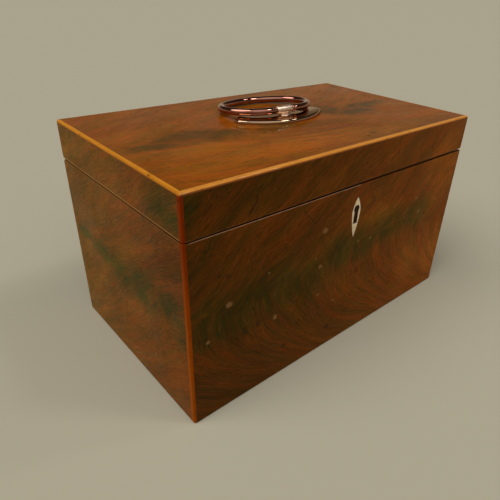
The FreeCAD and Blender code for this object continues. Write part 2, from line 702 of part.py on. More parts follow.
def nut_room():
    half = NUT_SIDE / 2 + NUT_PLAY
    foot = LID_CEILING - LID_TOP - HANDLE_AXIS
    return handle_frame(block(-half, half, -half, half, foot - 1, foot + NUT))


def stem_room():
    start = LID_CEILING - LID_TOP - HANDLE_AXIS
    return handle_frame(rod(STEM_RADIUS, point(0, 0, start - 1), Z_AXIS, 1 - start))


def handle_loop():
    """The oval ring handle, open at the lug, and the pin that it turns on."""
    start = LUG_LENGTH / 2 + LOOP_END_GAP
    straight = start + LOOP_STUB
    right = [Part.LineSegment(point(start, 0), point(straight, 0)).toShape()]
    right += oval_half(LOOP_HALF_WIDTH, LOOP_HALF_DEPTH, LOOP_SIDE_RADIUS, straight)
    left = [mirrored(edge) for edge in reversed(right)]
    path = Part.Wire(Part.sortEdges(right + left)[0])
    section = Part.Wire(Part.makeCircle(LOOP_WIRE_RADIUS, point(start, 0), X_AXIS))
    loop = path.makePipeShell([section], True, False)
    pin = rod(HANDLE_PIN_RADIUS, point(-straight, 0, 0), X_AXIS, 2 * straight)
    loop = loop.cut(pin)
    return handle_frame(loop, LOOP_TILT), handle_frame(pin, LOOP_TILT)


def cut_all(shape, tools):
    for tool in tools:
        shape = shape.cut(tool)
    return shape


def build_case(hinges, lock_parts):
    """The case's own pieces: boards, veneers, strings, partition, ledges, linings and escutcheon."""
    envelope = case_envelope()
    boards = wall_boards(0, CASE_HEIGHT)
    veneers = wall_veneers(0, CASE_HEIGHT)
    base = block(
        -INNER_W - BASE_LAP, INNER_W + BASE_LAP, -INNER_D - BASE_LAP, INNER_D + BASE_LAP, 0, BASE_BOARD
    )
    left_string = corner_string(0, CASE_HEIGHT)
    strings = [left_string, mirrored(left_string)]
    division = partition()
    hinge_room = [tool for parts in hinges.values() for tool in parts["case_room"]]

    nodes = {"case_base_board": base, "partition": division}
    for side, board in boards.items():
        tools = [base, division] + strings
        if side == "front":
            tools += lock_parts["case_room"] + [keyhole()]
        if side == "back":
            tools += hinge_room
        nodes[f"case_{side}_board"] = cut_all(board.common(envelope), tools)
    for side, veneer in veneers.items():
        tools = [escutcheon_blank(), keyhole()] if side == "front" else []
        if side == "back":
            tools = hinge_room
        nodes[f"case_{side}_veneer"] = cut_all(veneer.common(envelope), tools)
    nodes["case_string_left"] = strings[0].common(envelope)
    nodes["case_string_right"] = strings[1].common(envelope)
    nodes["escutcheon"] = escutcheon_blank().cut(keyhole())

    right = compartment()
    nodes["foil_lining_right"] = right["foil"]
    nodes["foil_lining_left"] = mirrored(right["foil"])
    nodes["ledge_back_right"] = right["back_ledge"]
    nodes["ledge_back_left"] = mirrored(right["back_ledge"])
    nodes["ledge_front_right"] = right["front_ledge"]
    nodes["ledge_front_left"] = mirrored(right["front_ledge"])
    return nodes


def build_lid(hinges, lock_parts):
    """The lid's own pieces: rails, top board, veneers, strings and lining."""
    envelope = lid_envelope()
    rails = wall_boards(LID_FOOT, LID_CEILING)
    veneers = wall_veneers(LID_FOOT, LID_TOP - STRING)
    veneers["back"] = block(-CARCASS_W, CARCASS_W, CARCASS_D, HALF_D, LID_FOOT, LID_TOP - VENEER)
    top = block(-CARCASS_W, CARCASS_W, -CARCASS_D, CARCASS_D, LID_CEILING, LID_TOP - VENEER)
    top_w = HALF_W - END_STRING
    top_veneer = block(-top_w, top_w, -HALF_D + FRONT_STRING, HALF_D, LID_TOP - VENEER, LID_TOP)
    lining = block(-INNER_W, INNER_W, -INNER_D, INNER_D, LID_CEILING - LID_LINING, LID_CEILING)
    corner_left = corner_string(LID_FOOT, LID_TOP - STRING)
    strings = {f"lid_string_{side}": string for side, string in top_strings().items()}
    strings["lid_string_corner_left"] = corner_left
    strings["lid_string_corner_right"] = mirrored(corner_left)
    hinge_room = [tool for parts in hinges.values() for tool in parts["lid_room"]]

    nodes = {"lid_lining": lining}
    for side, rail in rails.items():
        tools = list(strings.values())
        if side == "front":
            tools += lock_parts["lid_room"]
        if side == "back":
            tools += hinge_room
        nodes[f"lid_{side}_rail"] = cut_all(rail.common(envelope), tools)
    for side, veneer in veneers.items():
        tools = list(strings.values())
        if side == "back":
            tools += hinge_room
        nodes[f"lid_{side}_veneer"] = cut_all(veneer.common(envelope), tools)
    nodes["lid_top_board"] = cut_all(top, list(strings.values()) + [nut_room(), stem_room()])
    nodes["lid_top_veneer"] = top_veneer.common(envelope).cut(stem_room())
    for name, string in strings.items():
        nodes[name] = string.common(envelope)
    return nodes


def build_hardware(hinges, lock_parts):
    """The hinges, lock, link plate, handle and inner lids."""
    nodes = {}
    for side, parts in hinges.items():
        nodes[f"hinge_{side}_case_leaf"] = parts["case_leaf"]
        nodes[f"hinge_{side}_lid_leaf"] = parts["lid_leaf"]
        nodes[f"hinge_{side}_pin"] = parts["pin"]
    case_screws = lock_parts["screws"].Solids
    lid_screws = lock_parts["link_screws"].Solids
    for parts in hinges.values():
        case_screws += parts["case_screws"].Solids
        lid_screws += parts["lid_screws"].Solids
    nodes["case_screws"] = Part.makeCompound(case_screws)
    nodes["lid_screws"] = Part.makeCompound(lid_screws)
    for piece in ("plate", "cap", "bolt", "spring", "pillars", "key_pin"):
        nodes[f"lock_{piece}"] = lock_parts[piece]
    nodes["link_plate"] = lock_parts["link"]

    nodes["handle_plate"] = handle_plate().cut(stem_room())
    nodes["handle_lug"] = handle_lug()
    nodes["handle_nut"] = handle_nut()
    nodes["handle_loop"], nodes["handle_pin"] = handle_loop()

    right = inner_lid()
    for piece, name in (("panel", "inner_lid"), ("knob", "inner_lid_knob")):
        nodes[f"{name}_right"] = right[piece]
        nodes[f"{name}_left"] = mirrored(right[piece])
    return nodes


def build():
    """Every node of the caddy by name."""
    hinge_x = HALF_W - HINGE_INSET
    hinges = {"left": hinge(-hinge_x), "right": hinge(hinge_x)}
    lock_parts = lock()
    nodes = build_case(hinges, lock_parts)
    nodes.update(build_lid(hinges, lock_parts))
    nodes.update(build_hardware(hinges, lock_parts))
    return nodes


def main():
    os.makedirs("parts", exist_ok=True)
    for name, shape in build().items():
        shape.exportStep(f"parts/{name}.step")


if __name__ == "__main__":
    main()
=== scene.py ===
"""Looks of the tea caddy: its woods, metals and linings, its ring handle, and the studio round it."""

import logging
import math
from collections.abc import Iterable
from dataclasses import dataclass
from enum import Enum

import bmesh
import bpy
from mathutils import Matrix, Vector

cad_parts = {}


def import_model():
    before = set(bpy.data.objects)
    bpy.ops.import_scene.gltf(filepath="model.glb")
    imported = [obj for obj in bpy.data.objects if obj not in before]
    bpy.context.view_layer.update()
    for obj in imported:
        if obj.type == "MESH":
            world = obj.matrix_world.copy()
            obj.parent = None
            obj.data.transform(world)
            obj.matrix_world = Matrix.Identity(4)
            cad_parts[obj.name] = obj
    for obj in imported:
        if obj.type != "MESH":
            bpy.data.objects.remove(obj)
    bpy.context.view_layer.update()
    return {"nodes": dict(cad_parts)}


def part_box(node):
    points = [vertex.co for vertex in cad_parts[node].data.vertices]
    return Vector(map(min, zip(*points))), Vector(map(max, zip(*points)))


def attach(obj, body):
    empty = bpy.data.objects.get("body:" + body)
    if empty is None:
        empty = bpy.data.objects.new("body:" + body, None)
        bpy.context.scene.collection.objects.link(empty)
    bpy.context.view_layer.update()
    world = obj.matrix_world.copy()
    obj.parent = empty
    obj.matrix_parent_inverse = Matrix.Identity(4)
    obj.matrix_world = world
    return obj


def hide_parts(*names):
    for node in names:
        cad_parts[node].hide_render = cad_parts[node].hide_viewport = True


LOG = logging.getLogger("tea_caddy")
MM = 0.001
ROD_SIDES = 48

Mesh = bmesh.types.BMesh
Socket = bpy.types.NodeSocket
Inlets = bpy.types.NodeInputs
Outlets = bpy.types.NodeOutputs
Feed = bpy.types.NodeSocket | float | tuple[float, ...]
Feeds = dict[str, Feed] | dict[int, Feed]
Colour = tuple[float, float, float]


class Axis(Enum):
    """The axis that a grain or a fade runs along, followed by the other two."""

    X = (0, 1, 2)
    Y = (1, 2, 0)
    Z = (2, 0, 1)


@dataclass(frozen=True)
class Stain:
    """A colour that covers another, and how much of it shows where its mask is full."""

    colour: Colour
    share: float


class Graph:
    """Short calls that add nodes to one node tree and hand back the wanted output."""

    def __init__(self, tree: bpy.types.NodeTree) -> None:
        """Keeps the tree that the calls add to."""
        self.tree = tree

    def feed(self, socket: Socket, value: Feed) -> None:
        """Links or sets one input.

        Args:
            socket: The input to fill.
            value: Another node's output, a number, or a colour or vector.
        """
        if isinstance(value, bpy.types.NodeSocket):
            self.tree.links.new(value, socket)
        elif socket.type == "RGBA" and len(value) == 3:
            socket.default_value = (*value, 1.0)
        else:
            socket.default_value = value

    def fill(self, inputs: Inlets, feeds: Feeds) -> None:
        """Links or sets several inputs, by name or number."""
        for key, value in feeds.items():
            self.feed(inputs[key], value)

    def node(self, kind: str, feeds: Feeds, **settings: object) -> bpy.types.Node:
        """Adds a node.

        Args:
            kind: The node's type name.
            feeds: What goes into its inputs, by name or number.
            **settings: The node's own properties.

        Returns:
            The new node.
        """
        node = self.tree.nodes.new(kind)
        for name, value in settings.items():
            setattr(node, name, value)
        self.fill(node.inputs, feeds)
        return node

    def math(self, operation: str, first: Feed, second: Feed = 0.0, third: Feed = 0.0) -> Socket:
        """Adds a Math node and returns its value."""
        feeds = {0: first, 1: second, 2: third}
        return self.node("ShaderNodeMath", feeds, operation=operation).outputs[0]

    def plus(self, base: Feed, *parts: tuple[Feed, Feed]) -> Feed:
        """Adds shares of some values to a base.

        Args:
            base: What they are added to.
            *parts: The values, each with its share.

        Returns:
            The sum.
        """
        for value, share in parts:
            base = self.math("MULTIPLY_ADD", value, share, base)
        return base

    def vector(self, operation: str, first: Feed, second: Feed) -> Socket:
        """Adds a Vector Math node and returns its vector."""
        return self.node("ShaderNodeVectorMath", {0: first, 1: second}, operation=operation).outputs[0]

    def stretch(self, place: Feed, factors: tuple[float, float, float]) -> Socket:
        """Multiplies the three parts of a place."""
        return self.vector("MULTIPLY", place, factors)

    def length(self, vector: Feed) -> Socket:
        """Returns the length of a vector."""
        return self.node("ShaderNodeVectorMath", {0: vector}, operation="LENGTH").outputs["Value"]

    def split(self, vector: Feed) -> tuple[Socket, Socket, Socket]:
        """Returns the three parts of a vector."""
        outputs = self.node("ShaderNodeSeparateXYZ", {0: vector}).outputs
        return outputs[0], outputs[1], outputs[2]

    def join(self, x: Feed, y: Feed, z: Feed) -> Socket:
        """Returns a vector of three values."""
        return self.node("ShaderNodeCombineXYZ", {0: x, 1: y, 2: z}).outputs[0]

    def ease(self, value: Feed, low: Feed, high: Feed, start: Feed = 0.0, end: Feed = 1.0) -> Socket:
        """Maps a value smoothly from low and high to start and end, and holds it between them."""
        feeds = {0: value, 1: low, 2: high, 3: start, 4: end}
        return self.node("ShaderNodeMapRange", feeds, interpolation_type="SMOOTHSTEP").outputs[0]

    def mix(self, share: Feed, first: Feed, second: Feed, blend: str = "MIX") -> Socket:
        """Mixes two colours by a share."""
        feeds = {0: share, 6: first, 7: second}
        return self.node("ShaderNodeMix", feeds, data_type="RGBA", blend_type=blend).outputs[2]

    def stain(self, colour: Feed, mask: Feed, stain: Stain) -> Socket:
        """Covers a colour with a stain, by a mask."""
        return self.mix(self.math("MULTIPLY", mask, stain.share), colour, stain.colour)

    def tinted(self, colour: Feed, tint: Feed) -> Socket:
        """Multiplies a colour by a tint."""
        return self.mix(1.0, colour, tint, "MULTIPLY")

    def blend(self, share: Feed, first: Feed, second: Feed) -> Socket:
        """Mixes two numbers by a share."""
        return self.node("ShaderNodeMix", {0: share, 2: first, 3: second}, data_type="FLOAT").outputs[0]

    def noise(self, place: Feed, scale: float, detail: float, roughness: float) -> Socket:
        """Returns the value of a noise about 0.5."""
        feeds = {"Vector": place, "Scale": scale, "Detail": detail, "Roughness": roughness}
        return self.node("ShaderNodeTexNoise", feeds).outputs[0]

    def drift(self, place: Feed, scale: float, reach: float) -> Socket:
        """Moves a place by a noise.

        Args:
            place: The place to move.
            scale: How fine the noise is.
            reach: How far the noise moves it.

        Returns:
            The moved place.
        """
        node = self.node("ShaderNodeTexNoise", {"Vector": place, "Scale": scale, "Detail": 2.0})
        offset = self.vector("SUBTRACT", node.outputs[1], (0.5, 0.5, 0.5))
        return self.vector("ADD", place, self.stretch(offset, (reach, reach, reach)))

    def cells(self, place: Feed, scale: float, feature: str = "F1") -> Outlets:
        """Adds a Voronoi pattern and returns its outputs."""
        return self.node("ShaderNodeTexVoronoi", {"Vector": place, "Scale": scale}, feature=feature).outputs

    def ramp(self, value: Feed, stops: tuple[tuple[float, Colour], ...]) -> Socket:
        """Turns a value into a colour.

        Args:
            value: The value to look up.
            stops: Places from 0 to 1 and their colours, in order.

        Returns:
            The colour.
        """
        node = self.node("ShaderNodeValToRGB", {0: value})
        elements = node.color_ramp.elements
        elements[0].position = stops[0][0]
        elements[1].position = stops[-1][0]
        for place, _ in stops[1:-1]:
            elements.new(place)
        for element, (_, colour) in zip(elements, stops):
            element.color = (*colour, 1.0)
        return node.outputs[0]

    def place(self, effect: "Effect", **feeds: Feed) -> Outlets:
        """Places a shared effect.

        Args:
            effect: The effect to place.
            **feeds: Its inputs, with an underscore for each space in their names.

        Returns:
            Its outputs.
        """
        node = self.node("ShaderNodeGroup", {}, node_tree=effect.group())
        self.fill(node.inputs, {name.replace("_", " "): value for name, value in feeds.items()})
        return node.outputs

    def facing(self) -> tuple[Socket, Socket, Socket]:
        """Returns the way that a surface faces, in the CAD frame."""
        return self.split(self.node("ShaderNodeTexCoord", {}).outputs["Normal"])

    def millimetres(self) -> Socket:
        """Returns the place on the object, in millimetres."""
        place = self.node("ShaderNodeTexCoord", {}).outputs["Object"]
        return self.stretch(place, (1 / MM, 1 / MM, 1 / MM))

    def grained(self, grain: Axis) -> Socket:
        """Returns the place on the object, in millimetres, with the grain's axis first."""
        parts = self.split(self.millimetres())
        return self.join(*(parts[index] for index in grain.value))


@dataclass(frozen=True)
class Pattern:
    """A noise: its fineness, the limits that become its span, and how its place is drawn out and bent."""

    scale: float
    detail: float = 2.0
    rough: float = 0.5
    limits: tuple[float, float] | None = None
    span: tuple[float, float] = (0.0, 1.0)
    drawn: tuple[float, float, float] | None = None
    bend: tuple[float, float] | None = None

    def raw(self, graph: Graph, place: Feed) -> Socket:
        """Builds the noise as it comes.

        Args:
            graph: The graph to add to.
            place: The place in the material.

        Returns:
            The noise, about 0.5.
        """
        if self.bend:
            place = graph.drift(place, *self.bend)
        if self.drawn:
            place = graph.stretch(place, self.drawn)
        return graph.noise(place, self.scale, self.detail, self.rough)

    def spread(self, graph: Graph, noise: Socket) -> Socket:
        """Returns the noise spread out between its limits, if it has any."""
        return graph.ease(noise, *self.limits, *self.span) if self.limits else noise

    def at(self, graph: Graph, place: Feed) -> Socket:
        """Returns the noise at a place, spread out."""
        return self.spread(graph, self.raw(graph, place))


class Effect:
    """A shader node group that finishes share, built the first time it is placed."""

    name = ""
    values: tuple[str, ...] = ()
    patterns: dict[str, Pattern] = {}

    def group(self) -> bpy.types.NodeTree:
        """Builds the node group, unless it is there already.

        Returns:
            The node group.
        """
        tree = bpy.data.node_groups.get(self.name)
        if tree:
            return tree
        tree = bpy.data.node_groups.new(self.name, "ShaderNodeTree")
        tree.interface.new_socket("Place", in_out="INPUT", socket_type="NodeSocketVector")
        for name in self.values:
            tree.interface.new_socket(name, in_out="INPUT", socket_type="NodeSocketFloat")
        graph = Graph(tree)
        results = self.draw(graph, tree.nodes.new("NodeGroupInput").outputs)
        for name in results:
            tree.interface.new_socket(name, in_out="OUTPUT", socket_type="NodeSocketFloat")
        graph.node("NodeGroupOutput", results)
        return tree

    def draw(self, graph: Graph, inlet: Outlets) -> dict[str, Feed]:
        """Builds the group's patterns from its inputs, and returns what it puts out by name."""
        return {name: pattern.at(graph, inlet["Place"]) for name, pattern in self.patterns.items()}


class FeatherFigure(Effect):
    """The figure of crotch veneer: fibres that sweep away from a spine on both sides."""

    name = "feather_figure"
    values = ("Spine", "Upper Sweep", "Upper Bend", "Lower Sweep", "Lower Bend")
    patterns = {
        "Streak": Pattern(2.0, 2.0, 0.7, (0.28, 0.72), drawn=(1.0, 0.04, 1.0)),
        "Bands": Pattern(0.3, 2.0, 0.5, (0.28, 0.72), drawn=(1.0, 0.08, 1.0)),
        "Flame": Pattern(0.07, 3.0, 0.55, (0.3, 0.7), drawn=(1.0, 0.3, 1.0)),
        "Pores": Pattern(3.4, 1.0, 0.5, (0.6, 0.74), drawn=(1.0, 0.09, 1.0)),
    }
    mottle = Pattern(0.4, 3.0, 0.6)
    ragged = Pattern(0.11, 3.0, 0.6)
    ragged_reach = 15.0
    overlap = 3.0
    wander = (0.02, 14.0)

    def weave(self, graph: Graph, place: Socket, away: Socket, sweep: Feed, bend: Feed) -> list[Socket]:
        """Builds the figure on one side of the spine.

        Args:
            graph: The group's graph.
            place: The place on the face.
            away: The distance from the spine.
            sweep: How far a fibre runs along the spine for each step away from it.
            bend: How much more it does so further away.

        Returns:
            The patterns that follow the fibres, before they are spread out.
        """
        along, _, depth = graph.split(place)
        slant = graph.plus(sweep, (away, bend))
        stretch = graph.math("SQRT", graph.plus(1.0, (sweep, sweep)))
        fibre = graph.math("SUBTRACT", along, graph.math("MULTIPLY", away, slant))
        fibre = graph.math("DIVIDE", fibre, stretch)
        run = graph.math("DIVIDE", graph.plus(away, (sweep, along)), stretch)
        woven = graph.join(fibre, run, depth)
        return [pattern.raw(graph, woven) for pattern in self.patterns.values()]

    def draw(self, graph: Graph, inlet: Outlets) -> dict[str, Feed]:
        """Builds the figure of both sides, which run into each other along the spine.

        Args:
            graph: The group's graph.
            inlet: The group's inputs.

        Returns:
            The patterns that follow the fibres, and a mottle.
        """
        place = graph.drift(inlet["Place"], *self.wander)
        offset = graph.math("SUBTRACT", graph.split(place)[1], inlet["Spine"])
        below = graph.math("MULTIPLY", offset, -1.0)
        upper = self.weave(graph, place, offset, inlet["Upper Sweep"], inlet["Upper Bend"])
        lower = self.weave(graph, place, below, inlet["Lower Sweep"], inlet["Lower Bend"])
        ragged = self.ragged.at(graph, inlet["Place"])
        edge = graph.plus(-self.ragged_reach, (ragged, 2 * self.ragged_reach))
        share = graph.ease(graph.math("ADD", offset, edge), -self.overlap, self.overlap)
        results = {"Mottle": self.mottle.at(graph, place)}
        for (name, pattern), low, high in zip(self.patterns.items(), lower, upper):
            results[name] = pattern.spread(graph, graph.blend(share, low, high))
        return results


class StraightGrain(Effect):
    """Plain grain along the first axis, with growth bands, streaks and pores."""

    name = "straight_grain"
    wander = (0.03, 3.0)
    patterns = {
        "Band": Pattern(0.22, 2.0, 0.5, (0.3, 0.7), drawn=(0.05, 1.0, 1.0), bend=wander),
        "Streak": Pattern(1.6, 3.0, 0.6, (0.3, 0.7), drawn=(0.03, 1.0, 1.0), bend=wander),
        "Pores": Pattern(3.6, 1.0, 0.5, (0.6, 0.72), drawn=(0.1, 1.0, 1.0), bend=wander),
    }


class ArrisWear(Effect):
    """Wear that follows an edge and breaks off along it."""

    name = "arris_wear"
    values = ("Distance", "Reach")
    ragged = Pattern(0.9, 3.0, 0.6, (0.25, 0.75), (0.2, 1.6))
    patchy = Pattern(0.06, 2.0, 0.5, (0.3, 0.6), (0.35, 1.0))

    def draw(self, graph: Graph, inlet: Outlets) -> dict[str, Feed]:
        """Builds a band along the edge with a ragged inner side.

        Args:
            graph: The group's graph.
            inlet: The group's inputs.

        Returns:
            The wear.
        """
        reach = graph.math("MULTIPLY", inlet["Reach"], self.ragged.at(graph, inlet["Place"]))
        band = graph.ease(inlet["Distance"], reach, 0.0)
        return {"Wear": graph.math("MULTIPLY", band, self.patchy.at(graph, inlet["Place"]))}


class PolishHaze(Effect):
    """How hand-rubbed polish varies: broad haze, fine scratches both ways and a soft waviness."""

    name = "polish_haze"
    patterns = {
        "Haze": Pattern(0.045, 3.0, 0.6, (0.3, 0.7)),
        "Scratches": Pattern(2.6, 1.0, 0.5, (0.68, 0.76), drawn=(1.0, 0.05, 0.05), bend=(0.05, 6.0)),
        "Waves": Pattern(0.12, 1.0),
    }
    crossing = Pattern(2.2, 1.0, 0.5, (0.7, 0.78), drawn=(0.05, 1.0, 1.0), bend=(0.04, 8.0))

    def draw(self, graph: Graph, inlet: Outlets) -> dict[str, Feed]:
        """Builds the patterns, and the scratches that cross the others.

        Args:
            graph: The group's graph.
            inlet: The group's inputs.

        Returns:
            The haze, the scratches and the waves.
        """
        results = super().draw(graph, inlet)
        crossing = self.crossing.at(graph, inlet["Place"])
        results["Scratches"] = graph.math("MAXIMUM", results["Scratches"], crossing)
        return results


class Tarnish(Effect):
    """What age does to metal: cloudy tarnish, dark spots and rubbing scratches."""

    name = "tarnish"
    patterns = {
        "Cloud": Pattern(0.16, 4.0, 0.6, (0.42, 0.72)),
        "Spots": Pattern(1.3, 2.0, 0.5, (0.64, 0.74)),
        "Scratches": Pattern(4.0, 2.0, 0.5, (0.56, 0.74), drawn=(0.12, 1.0, 0.6), bend=(0.1, 2.0)),
    }


class Crumple(Effect):
    """Creases of thin sheet that was pressed in by hand, and soft dents."""

    name = "crumple"
    patterns = {"Dents": Pattern(0.22, 4.0, 0.6)}
    wander = (0.06, 10.0)
    cell_scale = 0.16
    crease_width = 0.16

    def draw(self, graph: Graph, inlet: Outlets) -> dict[str, Feed]:
        """Builds the dents, and sharp creases along the edges of cells.

        Args:
            graph: The group's graph.
            inlet: The group's inputs.

        Returns:
            The creases and the dents.
        """
        cells = graph.cells(graph.drift(inlet["Place"], *self.wander), self.cell_scale, "DISTANCE_TO_EDGE")
        creases = graph.ease(cells["Distance"], 0.0, self.crease_width)
        return super().draw(graph, inlet) | {"Creases": creases}


FEATHER_FIGURE = FeatherFigure()
STRAIGHT_GRAIN = StraightGrain()
ARRIS_WEAR = ArrisWear()
POLISH_HAZE = PolishHaze()
TARNISH = Tarnish()
CRUMPLE = Crumple()


class Panel(Enum):
    """A veneered face: the axes along and across its spine, the axis into it, and the sign of the first."""

    FRONT = (0, 2, 1, 1.0)
    BACK = (0, 2, 1, -1.0)
    SIDE = (1, 2, 0, 1.0)
    TOP = (0, 1, 2, 1.0)


@dataclass(frozen=True)
class Blotch:
    """A soft patch on a veneered face, in millimetres along and across it."""

    along: float
    across: float
    half_length: float
    half_width: float


@dataclass(frozen=True)
class Score:
    """A thin line on a veneered face, from one point to another, and the share of its width that is full."""

    start: tuple[float, float]
    end: tuple[float, float]
    width: float
    core: float = 0.3


@dataclass(frozen=True)
class Fade:
    """A tint that grows from one place to another along an axis, in millimetres."""

    axis: Axis
    start: float
    end: float
    tint: Colour


class Finish:
    """A material of the caddy, made once and then shared by its pieces."""

    title: str

    def material(self) -> bpy.types.Material:
        """Builds the material, unless it is there already.

        Returns:
            The material.
        """
        made = bpy.data.materials.get(self.title)
        if made:
            return made
        made = bpy.data.materials.new(self.title)
        made.use_nodes = True
        made.node_tree.nodes.clear()
        graph = Graph(made.node_tree)
        shader = graph.node("ShaderNodeBsdfPrincipled", self.dress(graph))
        graph.node("ShaderNodeOutputMaterial", {"Surface": shader.outputs[0]})
        return made

    def dress(self, graph: Graph) -> Feeds:
        """Builds what goes into the inputs of the Principled BSDF, and returns it by name."""
        raise NotImplementedError

    def relief(self, graph: Graph, height: Feed, depth: float) -> Socket:
        """Returns the normal of a bump, whose height of 1 is a depth in millimetres."""
        return graph.node("ShaderNodeBump", {"Distance": depth * MM, "Height": height}).outputs[0]


MAHOGANY = (
    (0.0, (0.040, 0.0150, 0.0008)),
    (0.3, (0.106, 0.0300, 0.0012)),
    (0.6, (0.200, 0.0515, 0.0026)),
    (1.0, (0.370, 0.1050, 0.0080)),
)
FIGURE_SHARES = {"Flame": 0.2, "Bands": 0.12, "Streak": 0.3, "Mottle": 0.1}
LIGHT_STEP = 0.2
OLIVE_TINT = (0.90, 1.20, 1.00)
RED_TINT = (1.08, 0.86, 0.90)
RED_SHARE = 0.15
RED_IN_BANDS = 0.7
EDGE_SHADOW = (0.020, 0.009, 0.003)
EDGE_TURN = (0.6, 0.85)
KNOT_SHARE = 0.6
PORES = Stain((0.024, 0.008, 0.0015), 0.4)
CUTS = Stain((0.016, 0.011, 0.003), 0.9)
CHIPS = Stain((0.320, 0.160, 0.065), 0.5)
WORN = Stain((0.250, 0.110, 0.040), 0.4)
CLOUD_BEND = (0.09, 9.0)
KNOT_BEND = (0.5, 1.0)
CUT_BEND = (0.2, 1.2)
CHIP_BEND = (0.6, 1.0)
# how the painted highlight lines along the seam wander
SEAM_HIGHLIGHT_BEND = (0.3, 0.5)
TORN = Pattern(0.13, 4.0, 0.65, (0.3, 0.58), (0.6, 1.0))


@dataclass(frozen=True)
class Veneer(Finish):
    """Polished crotch mahogany veneer of one face."""

    title: str
    panel: Panel
    spine: float
    upper: tuple[float, float]
    lower: tuple[float, float]
    tone: float
    # how far the tone is painted lighter along the face, towards the end that more light falls on
    painted_light_slope: float
    polish: float
    hue: Colour = (1.0, 1.0, 1.0)
    cloud: Colour = (0.42, 0.92, 1.10)
    warmth: float = 0.0
    clouds: tuple[Blotch, ...] = ()
    lights: tuple[Blotch, ...] = ()
    shades: tuple[Blotch, ...] = ()
    chips: tuple[Blotch, ...] = ()
    knots: tuple[Blotch, ...] = ()
    scores: tuple[Score, ...] = ()
    # pale lines along the arrises at the seam, painted highlights where those edges catch the light, and the
    # colour they are painted in
    seam_highlights: tuple[Score, ...] = ()
    seam_highlight_paint: Stain = Stain((0.420, 0.230, 0.140), 0.7)
    half_length: float = 100.0
    seam: float = 96.4
    half_gap: float = 0.2
    wear_reach: float = 0.9
    rough: float = 0.4

    def face(self, graph: Graph) -> Socket:
        """Builds the place on the face.

        Args:
            graph: The material's graph.

        Returns:
            The place along the spine, across it and into the veneer, in millimetres.
        """
        parts = graph.split(graph.millimetres())
        along, across, depth, sign = self.panel.value
        return graph.join(graph.math("MULTIPLY", parts[along], sign), parts[across], parts[depth])

    def patches(self, graph: Graph, face: Socket, blotches: tuple[Blotch, ...], soft: float) -> Feed:
        """Builds the sum of some blotches.

        Args:
            graph: The material's graph.
            face: The place on the face.
            blotches: The blotches.
            soft: How soft their edges are, from 0 to 1.

        Returns:
            A mask, or 0 where there are none.
        """
        total: Feed = 0.0
        for blotch in blotches:
            offset = graph.vector("SUBTRACT", face, (blotch.along, blotch.across, 0.0))
            reach = graph.length(graph.stretch(offset, (1 / blotch.half_length, 1 / blotch.half_width, 0.0)))
            total = graph.math("MAXIMUM", total, graph.ease(reach, 1.0 + soft, 1.0 - soft))
        return total

    def lines(self, graph: Graph, face: Socket, scores: tuple[Score, ...]) -> Feed:
        """Builds the sum of some thin lines.

        Args:
            graph: The material's graph.
            face: The place on the face.
            scores: The lines.

        Returns:
            A mask, or 0 where there are none.
        """
        total: Feed = 0.0
        flat = graph.stretch(face, (1.0, 1.0, 0.0))
        for score in scores:
            start = Vector((*score.start, 0.0))
            line = Vector((*score.end, 0.0)) - start
            offset = graph.vector("SUBTRACT", flat, tuple(start))
            dot = graph.node("ShaderNodeVectorMath", {0: offset, 1: tuple(line)}, operation="DOT_PRODUCT")
            share = graph.math("DIVIDE", dot.outputs["Value"], line.length_squared)
            held = graph.math("MINIMUM", graph.math("MAXIMUM", share, 0.0), 1.0)
            foot = graph.vector("MULTIPLY", tuple(line), graph.join(held, held, 0.0))
            distance = graph.length(graph.vector("SUBTRACT", offset, foot))
            total = graph.math("MAXIMUM", total, graph.ease(distance, score.width, score.width * score.core))
        return total

    def edge_distance(self, graph: Graph, face: Socket) -> Socket:
        """Builds how far a place is from the seam, the foot and the far ends of the face.

        Args:
            graph: The material's graph.
            face: The place on the face.

        Returns:
            The distance in millimetres.
        """
        along, across, _ = graph.split(face)
        end = graph.math("SUBTRACT", self.half_length, graph.math("ABSOLUTE", along))
        if self.panel is Panel.TOP:
            return end
        seam = graph.math("ABSOLUTE", graph.math("SUBTRACT", across, self.seam))
        seam = graph.math("SUBTRACT", seam, self.half_gap)
        return graph.math("MINIMUM", graph.math("MINIMUM", seam, across), end)

    def figure(self, graph: Graph, face: Socket) -> Outlets:
        """Places the feather figure along the spine of the face."""
        return graph.place(
            FEATHER_FIGURE,
            Place=face,
            Spine=self.spine,
            Upper_Sweep=self.upper[0],
            Upper_Bend=self.upper[1],
            Lower_Sweep=self.lower[0],
            Lower_Bend=self.lower[1],
        )

    def wood(self, graph: Graph, face: Socket, figure: Outlets) -> Socket:
        """Builds the colour of the wood, with its painted slope of light, its lights, shades, clouds and
        pores.

        Args:
            graph: The material's graph.
            face: The place on the face.
            figure: The outputs of the feather figure.

        Returns:
            The colour.
        """
        along = graph.split(face)[0]
        wavy = graph.drift(face, *CLOUD_BEND)
        lights = self.patches(graph, wavy, self.lights, soft=0.8)
        shades = self.patches(graph, wavy, self.shades, soft=0.8)
        clouds = self.patches(graph, wavy, self.clouds, soft=0.6)
        tone = graph.plus(self.tone, *((figure[name], share) for name, share in FIGURE_SHARES.items()))
        # painted light: the tone rises along the face
        tone = graph.plus(tone, (along, self.painted_light_slope / self.half_length))
        tone = graph.plus(tone, (lights, LIGHT_STEP), (shades, -LIGHT_STEP))
        colour = graph.tinted(graph.ramp(tone, MAHOGANY), self.hue)
        warmth = graph.plus(RED_SHARE, (figure["Bands"], RED_IN_BANDS))
        warmth = graph.plus(warmth, (along, self.warmth / self.half_length))
        colour = graph.tinted(colour, graph.mix(warmth, OLIVE_TINT, RED_TINT))
        clouds = graph.math("MULTIPLY", clouds, TORN.at(graph, wavy))
        colour = graph.mix(clouds, colour, graph.tinted(colour, self.cloud))
        return graph.stain(colour, figure["Pores"], PORES)

